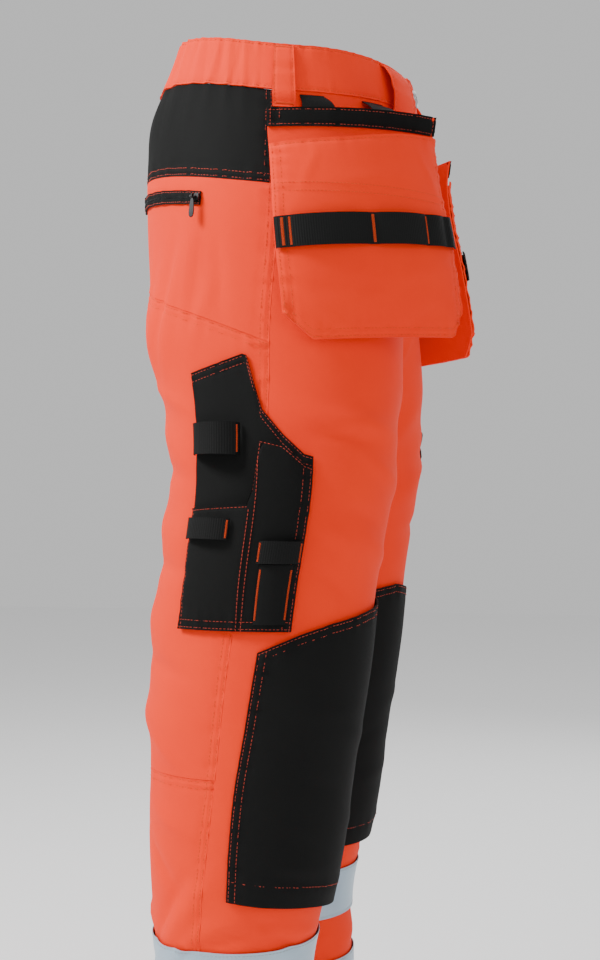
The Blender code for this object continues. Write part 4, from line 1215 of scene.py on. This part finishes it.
class Trousers:
    """Makes every piece of the trousers over its CAD node."""

    def __init__(self, materials: Materials) -> None:
        self.looks = materials
        self.orange = {side: Thread(f"orange_stitches_{side.word}", materials.orange_thread)
                       for side in Side}
        self.contrast = {side: Thread(f"contrast_stitches_{side.word}",
                                      materials.contrast_thread) for side in Side}
        self.tacks = Thread("bartacks", materials.orange_thread)
        self.silver = Thread("tape_stitches", materials.silver_thread)
        self.teeth = Thread("zip_teeth", materials.zip)

    def build(self) -> None:
        """Make every piece and the threads."""
        for side in Side:
            self.legs(side)
            self.holster(side)
            self.knee_pocket(side)
            self.back_zip(side)
            self.tapes(side)
            self.belt_loop(side, SIDE_LOOP, f"side_loop_{side.word}")
            self.belt_loop(side, FRONT_LOOP, f"front_loop_{side.word}")
        self.belt_loop(Side.RIGHT, BACK_LOOP, "back_loop")
        self.waistband()
        self.fly()
        self.tool_pocket()
        self.cargo_pocket()
        self.button()
        for thread in (*self.orange.values(), *self.contrast.values(), self.tacks, self.silver,
                       self.teeth):
            thread.build()

    def legs(self, side: Side) -> None:
        """Front, yoke, seat, back thigh and lower back of a leg."""
        cloth, twill, word = Cloth(side), self.looks.twill, side.word
        front, back = centre_seam(side, True), centre_seam(side, False)
        ahead, behind = side_seam(-HALF_GAP), side_seam(HALF_GAP)
        thread = self.orange[side]
        double = (Row("start", SEAM_NEAR), Row("start", SEAM_SECOND))
        Panel(f"front_{word}", cloth, front, ahead, lowered(band_bottom), fixed(HEM),
              flush(CLOTH), CLOTH, twill, Cut(0.31, 1.03, 0.259),
              (Row("bottom", HEM_TURN),), 0.0050).build(thread)
        Panel(f"yoke_{word}", cloth, behind, back, lowered(band_bottom), level(YOKE_BOTTOM),
              lambda a, z: gathered(a, z) * 0.8 - CLOTH, CLOTH, self.looks.canvas,
              Cut(0.26, 0.086, 0.0218),
              (Row("start", 0.0022), Row("start", 0.0075), Row("start", 0.0125),
               Row("bottom", 0.0020), Row("bottom", 0.0075))).build(self.contrast[side])
        Panel(f"seat_{word}", cloth, behind, back, lowered(level(YOKE_BOTTOM)), seat_seam,
              flush(CLOTH), CLOTH, twill, Cut(0.25, 0.165, 0.0288), double).build(thread)
        Panel(f"back_thigh_{word}", cloth, behind, back, lowered(seat_seam), fixed(KNEE_SEAM),
              flush(CLOTH), CLOTH, twill, Cut(0.30, 0.45, 0.117),
              (*double, Row("top", SEAM_NEAR), Row("top", SEAM_SECOND)), 0.0050).build(thread)
        Panel(f"lower_back_{word}", cloth, behind, back, lowered(fixed(KNEE_SEAM)), fixed(HEM),
              flush(CLOTH), CLOTH, twill, Cut(0.215, 0.42, 0.0895),
              (*double, Row("top", SEAM_NEAR), Row("top", SEAM_SECOND), Row("bottom", HEM_TURN)),
              0.0050).build(thread)

    def holster(self, side: Side) -> None:
        """Hanging pocket with its band, pouch, tool webbing and straps."""
        flat, word, twill = Hanging(side), side.word, self.looks.twill
        top, bottom, mouth = outline(HOLSTER_TOP), outline(HOLSTER_BOTTOM), outline(HOLSTER_MOUTH)
        start, end = fixed(0.0), fixed(1.0)

        def puffed(across: Array, z: Array) -> Array:
            fade = np.clip(across * (1 - across) * 8, 0, 1)
            return pouch_lift(across, z) + creased(POUCH_CREASES, flat, across, z) * fade

        Panel(f"holster_back_{word}", flat, start, end, top, bottom, lambda u, z: 0 * (u + z),
              CLOTH, twill, Cut(0.175, 0.205, 0.0342)).build()
        Panel(f"holster_band_{word}", flat, start, end, top, lambda u: top(u) - HOLSTER_BAND,
              lambda u, z: CLOTH + SEAM_GAP + 0 * (u + z), WEBBING, self.looks.canvas,
              Cut(0.175, HOLSTER_BAND, 0.0029),
              (Row("top", NEAR), Row("bottom", NEAR), Row("start", 0.0025), Row("end", 0.0025),
               Row("start", 0.010))).build(self.contrast[side])
        Panel(f"holster_pouch_{word}", flat, start, end, mouth, bottom,
              puffed, CLOTH, twill,
              Cut(0.195, 0.18, 0.031),
              (Row("top", 0.0025), Row("start", NEAR), Row("end", NEAR), Row("start", SECOND),
               Row("end", SECOND), Row("bottom", NEAR), Row("bottom", SECOND),
               Row("level", -0.1275), Row("level", -0.1345)), 0.0035).build(self.orange[side])
        web_top = outline(WEBBING_TOP)
        web = Panel(f"holster_webbing_{word}", flat, start, end, web_top,
                    lambda u: web_top(u) - WEBBING_HEIGHT, webbing_lift, WEBBING,
                    self.looks.webbing, Cut(0.24, WEBBING_HEIGHT, 0.0062), (), 0.0022)
        web.build()
        for place in BARTACKS:
            path, out = web.path(Row("across", place, 0.06, 0.94))
            self.tacks.row(path, out, 0.0008, 0.0032, 0.0003, True)
        for strap in STRAPS:
            self.strap(side, strap)

    def strap(self, side: Side, strap: Strap) -> None:
        """Webbing strap from under the waistband down behind the holster's top edge."""
        u, v = np.meshgrid(np.linspace(0, 1, 15), np.linspace(0, 1, 22))
        angle = strap.angle_back + (strap.angle_front - strap.angle_back) * u
        across = strap.across_back + (strap.across_front - strap.across_back) * u
        turn = smoothstep(0.0, 0.75, v)[..., None]
        cloth, flat = Cloth(side), Hanging(side)

        def layer(lift: float) -> Array:
            on_body = cloth.at(angle, band_bottom(angle) - 0.004 - 0.012 * v, 0.0008 + lift + 0 * v)
            on_holster = flat.at(across, -0.052 - 0.028 * (v - 0.4),
                                 lift - WEBBING - SEAM_GAP + 0 * v)
            return on_body * (1 - turn) + on_holster * turn

        made = wall(f"strap_{strap.name}_{side.word}_cloth", layer(WEBBING), layer(0.0),
                         np.stack([across * HOLSTER_WIDTH, v * 0.04], -1), self.looks.webbing)
        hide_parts(f"strap_{strap.name}_{side.word}")

    def knee_pocket(self, side: Side) -> None:
        """Black knee pocket, open at its lower edge."""
        cloth = Cloth(side)
        top, bottom = outline(KNEE_TOP), outline(KNEE_BOTTOM)

        def outer(z: Array) -> Array:
            return column(KNEE_OUTER, "angle", z)

        def lift(across: Array, z: Array) -> Array:
            u = np.clip((across - KNEE_INNER) / (outer(z) - KNEE_INNER), 0, 1)
            v = np.clip((top(across) - z) / (top(across) - bottom(across)), 0, 1)
            middle = np.clip(np.sin(np.pi * u), 0, 1) ** 0.7
            return 2 * SEAM_GAP + middle * (0.0015 + 0.0055 * smoothstep(0.45, 1.0, v)
                                            + creased(KNEE_CREASES, cloth, across, z))

        Panel(f"knee_pocket_{side.word}", cloth, fixed(KNEE_INNER), outer, top, bottom, lift,
              CLOTH, self.looks.canvas, Cut(0.235, 0.265, 0.0598),
              (Row("start", NEAR), Row("start", SECOND), Row("end", NEAR), Row("end", SECOND),
               Row("top", NEAR), Row("top", SECOND), Row("bottom", HEM_TURN))
              ).build(self.contrast[side])

    def back_zip(self, side: Side) -> None:
        """Black welt with a closed zip, its slider and its pull."""
        base = SEAM_GAP * 2 + 0.0003
        thick = 0.0012
        middle = (WELT_TOP + WELT_BOTTOM) / 2

        def lift(across: Array, z: Array) -> Array:
            off = z - FORM.climb(across, middle)
            return base - 0.0005 * np.exp(-(off / 0.0009) ** 2)

        panel = Panel(f"zip_welt_{side.word}", Cloth(side), fixed(WELT_START), fixed(WELT_END),
                      level(WELT_TOP), level(WELT_BOTTOM), lift, thick, self.looks.canvas,
                      Cut(0.158, 0.0125, 0.00195),
                      (Row("top", 0.0016), Row("bottom", 0.0016), Row("start", 0.0016)), 0.0018)
        panel.build(self.contrast[side])
        across = np.linspace(WELT_START + 4, WELT_END - 1, 200)
        z = FORM.climb(across, middle)
        self.teeth.row(*panel.face(across, z, lift(across, z)), 0.0011, 0.0020, 0.00035, True)
        for node in (f"slider_{side.word}", f"pull_{side.word}"):
            paint(node, self.looks.zip.material)

    def tapes(self, side: Side) -> None:
        """Two reflective tapes round the lower leg."""
        cloth = Cloth(side)
        angles = np.linspace(0.0, 360.0, 150, endpoint=False)
        for word, top in TAPE_TOPS.items():
            down = np.array([0, 0.0012, 0.0024, 0.004, 0.008, 0.0125, 0.017, 0.021, 0.025, 0.029,
                             0.033, 0.0375, 0.042, 0.046, 0.0476, 0.0488, TAPE_WIDTH])
            across, z = np.meshgrid(angles, top - down)
            edge = np.minimum(top - z, z - top + TAPE_WIDTH)
            lift = 0.0018 - 0.0004 * np.exp(-((edge - 0.0024) / 0.0011) ** 2)
            made = shell(f"tape_{word}_{side.word}_cloth", cloth, across, z, lift, 0.0007,
                         self.looks.tape, ring=True)
            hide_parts(f"tape_{word}_{side.word}")
            for place in (0.0024, TAPE_WIDTH - 0.0024):
                turn = np.linspace(0, 360, 400)
                low = cloth.at(turn, np.full(400, top - place), np.full(400, 0.0022))
                high = cloth.at(turn, np.full(400, top - place), np.full(400, 0.0032))
                self.silver.row(low, high - low)

    def belt_loop(self, side: Side, loop: BeltLoop, node: str) -> None:
        """Belt loop that stands off the waistband."""
        def lift(across: Array, z: Array) -> Array:
            top, bottom = FORM.climb(across, loop.top), FORM.climb(across, loop.bottom)
            v = np.clip((top - z) / (top - bottom), 0, 1)
            free = np.clip((v - 0.05) / 0.88, 0, 1)
            under = BAND_OUT - (BAND_OUT - SEAM_GAP) * smoothstep(0.85, 0.93, v)
            return under + SEAM_GAP + loop.stand * np.clip(np.sin(np.pi * free), 0, 1) ** 0.5

        panel = Panel(node, Cloth(side), fixed(loop.start), fixed(loop.end), level(loop.top),
                      level(loop.bottom), lift, CLOTH, self.looks.twill,
                      loop.cut, (Row("start", 0.0022), Row("end", 0.0022)), 0.0025)
        panel.build(self.orange[side])
        for height in (loop.top - 0.003, loop.bottom + 0.003):
            across = np.linspace(loop.start + 0.8, loop.end - 0.8, 40)
            z = FORM.climb(across, height)
            self.tacks.row(*panel.face(across, z, lift(across, z)), 0.0009, 0.0022, 0.0003, True)

    def waistband(self) -> None:
        """Two waistband halves, the left lapped over the right."""
        rows = (Row("top", NEAR), Row("bottom", NEAR))
        thick = BAND_IN + BAND_OUT

        def lapped(across: Array, z: Array) -> Array:
            share = (across - LAP_ANGLE) / (centre_seam(Side.LEFT, False)(z) - LAP_ANGLE)
            return (thick + LAP_CLEARANCE) * (1 - smoothstep(0.036, 0.085, share))

        Panel("waistband_right", Cloth(Side.RIGHT), centre_seam(Side.RIGHT, True),
              centre_seam(Side.RIGHT, False), level(0.0), band_bottom,
              lambda a, z: gathered(a, z) - BAND_IN, thick, self.looks.twill,
              Cut(0.450, 0.043, 0.0190), rows, 0.0028).build(self.orange[Side.RIGHT])
        Panel("waistband_left", Cloth(Side.LEFT), fixed(LAP_ANGLE), centre_seam(Side.LEFT, False),
              level(0.0), band_bottom, lambda a, z: lapped(a, z) + gathered(a, z) - BAND_IN,
              thick, self.looks.twill, Cut(0.480, 0.043, 0.0203), (*rows, Row("start", NEAR)),
              0.0028).build(self.orange[Side.LEFT])

    def fly(self) -> None:
        """Fly facing with its curved double stitching."""
        centre = centre_seam(Side.LEFT, True)

        def edge(z: Array) -> Array:
            curve = np.sqrt(np.clip(1 - (np.clip(-0.140 - z, 0, 0.044) / 0.045) ** 2, 0, 1))
            return centre(z) + 13.0 * curve

        Panel("fly", Cloth(Side.LEFT), centre, edge, lowered(band_bottom), fixed(-0.184),
              lambda a, z: SEAM_GAP * 2 + 0 * (a + z), 0.001, self.looks.twill,
              Cut(0.038, 0.148, 0.0055), (Row("end", NEAR), Row("end", SECOND), Row("start", NEAR)),
              0.0025).build(self.orange[Side.LEFT])

    def tool_pocket(self) -> None:
        """Tool pocket of the right thigh with its loops and sleeve."""
        cloth, canvas, web = Cloth(Side.RIGHT), self.looks.canvas, self.looks.webbing
        start, end, floor = fixed(TOOL_START), fixed(TOOL_END), fixed(TOOL_BOTTOM)
        thread = self.contrast[Side.RIGHT]
        edges = (Row("start", NEAR), Row("start", SECOND), Row("end", NEAR), Row("top", NEAR),
                 Row("bottom", NEAR), Row("bottom", SECOND))
        Panel("tool_back", cloth, start, end, outline(TOOL_TOP), floor,
              lambda a, z: LAID_ON + 0 * (a + z), CLOTH, canvas, Cut(0.105, 0.235, 0.021),
              (Row("top", NEAR), Row("top", SECOND)), 0.0035).build(thread)
        pouch = Panel("tool_pouch", cloth, start, end, outline(TOOL_MOUTH), floor, tool_lift, CLOTH,
                      canvas, Cut(0.11, 0.155, 0.0136),
                      (*edges, Row("across", 181.0), Row("across", 184.0)), 0.0035)
        pouch.build(thread)

        def arch(first: float, last: float, height: float, base) -> Callable:
            def lift(across: Array, z: Array) -> Array:
                t = np.clip((across - first) / (last - first), 0, 1)
                return base(across, z) + height * np.sin(np.pi * t) ** 0.6
            return lift

        flat = lambda a, z: LAID_ON + CLOTH + 4 * SEAM_GAP + 0 * (a + z)
        over = lambda a, z: tool_lift(a, z) + CLOTH + 2 * SEAM_GAP + 0.0003
        bands = [("hammer_loop", 193.0, 221.0, -0.330, -0.358, 0.013, flat, WEBBING, web,
                  Cut(0.055, 0.028, 0.00154)),
                 ("tool_elastic", 193.0, 221.0, -0.412, -0.430, 0.006, over, WEBBING, web,
                  Cut(0.048, 0.018, 0.00086)),
                 ("driver_elastic", 153.0, 176.0, -0.430, -0.449, 0.005, over, WEBBING, web,
                  Cut(0.04, 0.019, 0.00076)),
                 ("driver_sleeve", 156.0, 174.0, -0.4497, -0.500, 0.003, over, 0.001, canvas,
                  Cut(0.032, 0.050, 0.0016))]
        for node, first, last, top, bottom, height, base, thick, look, cut in bands:
            panel = Panel(node, cloth, fixed(first), fixed(last), fixed(top), fixed(bottom),
                          arch(first, last, height, base), thick, look, cut, (), 0.0022)
            panel.build()
            for place in (first + 0.9, last - 0.9):
                path, out = panel.path(Row("across", place, 0.08, 0.92))
                self.tacks.row(path, out, 0.0009, 0.0020, 0.0003, True)

    def cargo_pocket(self) -> None:
        """Cargo pocket of the left thigh with its black flap."""
        cloth = Cloth(Side.LEFT)
        Panel("cargo_pouch", cloth, fixed(CARGO_START), fixed(CARGO_END), fixed(CARGO_TOP),
              fixed(CARGO_BOTTOM), cargo_lift, CLOTH, self.looks.twill,
              Cut(0.125, 0.145, 0.0177),
              (Row("start", NEAR), Row("start", SECOND), Row("end", NEAR), Row("end", SECOND),
               Row("bottom", NEAR), Row("bottom", SECOND))).build(self.orange[Side.LEFT])

        def flap_lift(across: Array, z: Array) -> Array:
            over = 1 - smoothstep(CARGO_TOP + 0.004, FLAP_TOP, z)
            rise = cargo_lift(across, z) + CLOTH + 2 * SEAM_GAP + 0.001 - LAID_ON
            return LAID_ON + rise * over

        Panel("cargo_flap", cloth, fixed(CARGO_START - 3), fixed(CARGO_END + 3), fixed(FLAP_TOP),
              fixed(FLAP_BOTTOM), flap_lift, CLOTH, self.looks.canvas,
              Cut(0.144, 0.050, 0.0071),
              (Row("start", NEAR), Row("end", NEAR), Row("bottom", NEAR), Row("bottom", SECOND),
               Row("top", NEAR))).build(self.contrast[Side.LEFT])

    def button(self) -> None:
        """Waist button with a raised rim and a dished middle."""
        cloth = Cloth(Side.LEFT)
        angle, z = np.array(46.0), np.array(-0.018)
        lift = 2 * BAND_OUT + LAP_CLEARANCE + BAND_IN + 0.0006
        place = cloth.at(angle, z, np.array(lift))
        out = cloth.at(angle, z, np.array(lift + 0.001)) - place
        out /= np.linalg.norm(out)
        beside = np.cross([0.0, 0.0, 1.0], out)
        beside /= np.linalg.norm(beside)
        up = np.cross(out, beside)
        profile = np.array([(0.0001, 0.0), (0.0083, 0.0), (0.0085, 0.0006), (0.0085, 0.0014),
                            (0.0080, 0.0022), (0.0072, 0.0026), (0.0064, 0.0025),
                            (0.0057, 0.0019), (0.0048, 0.0016), (0.0026, 0.0015),
                            (0.0018, 0.0021), (0.0001, 0.0023)])
        turns = np.linspace(0, 2 * math.pi, 48, endpoint=False)
        reach, high = profile[:, 0, None, None], profile[:, 1, None, None]
        spin = (np.cos(turns)[None, :, None] * beside + np.sin(turns)[None, :, None] * up)
        points = place + spin * reach + out * high
        count = len(turns)
        faces = [(r * count + k, r * count + (k + 1) % count, (r + 1) * count + (k + 1) % count,
                  (r + 1) * count + k) for r in range(len(profile) - 1) for k in range(count)]
        faces += [tuple(range(count))[::-1], tuple(range((len(profile) - 1) * count,
                                                         len(profile) * count))]
        flat = points.reshape(-1, 3)
        made = put_mesh("waist_button_turned", flat, faces, flat[:, :2], self.looks.button)
        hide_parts("waist_button")


def paint(node: str, material: bpy.types.Material) -> None:
    """Give a carried-over node its material."""
    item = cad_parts[node]
    for slot in item.material_slots:
        slot.material = material


class Studio:
    """Camera, lights and floor."""

    position = (-1.3667, -0.2533, -0.382)
    heading = -79.5
    lens = 53.36
    shift = (0.0021, 0.0042)
    floor = HEM - 0.002

    def build(self) -> None:
        """Place everything that isn't part of the trousers."""
        self.camera()
        self.ground()
        self.light("key", (-0.9, 1.5, 1.2), 0.7, 78.0)
        self.light("fill", (-1.9, -1.6, 0.5), 1.4, 13.0)
        self.light("top", (0.2, 0.0, 2.0), 1.6, 22.0)
        self.light("far", (1.9, -0.6, 0.6), 1.6, 14.0)
        world = bpy.data.worlds.new("studio")
        bpy.context.scene.world = world
        world.use_nodes = True
        background = world.node_tree.nodes["Background"]
        background.inputs["Color"].default_value = (1.0, 1.0, 1.0, 1)
        background.inputs["Strength"].default_value = 0.65

    def camera(self) -> None:
        """Level camera at the photograph's angle."""
        data = bpy.data.cameras.new("camera")
        data.lens = self.lens
        data.sensor_width = data.sensor_height = 36.0
        data.shift_x, data.shift_y = self.shift
        item = bpy.data.objects.new("camera", data)
        item.location = self.position
        item.rotation_euler = (math.radians(90), 0.0, math.radians(self.heading))
        bpy.context.scene.collection.objects.link(item)
        bpy.context.scene.camera = item

    def light(self, name: str, place: tuple, size: float, power: float) -> None:
        """Soft square light that faces the trousers."""
        data = bpy.data.lights.new(name, "AREA")
        data.size = size
        data.energy = power
        item = bpy.data.objects.new(name, data)
        item.location = place
        aim = Vector((0.0, 0.0, -0.45)) - Vector(place)
        item.rotation_euler = aim.to_track_quat("-Z", "Y").to_euler()
        bpy.context.scene.collection.objects.link(item)

    def ground(self) -> None:
        """Plain pale floor."""
        mesh = bpy.data.meshes.new("floor")
        reach = 6.0
        mesh.from_pydata([(x * reach, y * reach, self.floor)
                          for x, y in ((-1, -1), (1, -1), (1, 1), (-1, 1))], [], [(0, 1, 2, 3)])
        material = bpy.data.materials.new("floor")
        material.use_nodes = True
        shader = material.node_tree.nodes["Principled BSDF"]
        shader.inputs["Base Color"].default_value = (0.92, 0.92, 0.92, 1)
        shader.inputs["Roughness"].default_value = 0.9
        mesh.materials.append(material)
        item = bpy.data.objects.new("floor", mesh)
        bpy.context.scene.collection.objects.link(item)


def corners(box) -> list[list[float]]:
    """Box as plain lists of numbers."""
    return [[float(value) for value in corner] for corner in box]


def main() -> None:
    """Dress the frame."""
    logging.basicConfig(level=logging.INFO, format="%(name)s: %(message)s")
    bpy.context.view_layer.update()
    Studio().build()
    Trousers(Materials()).build()
    LOG.info("dressed %d nodes", len(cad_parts))


if __name__ == "__main__":
    main()
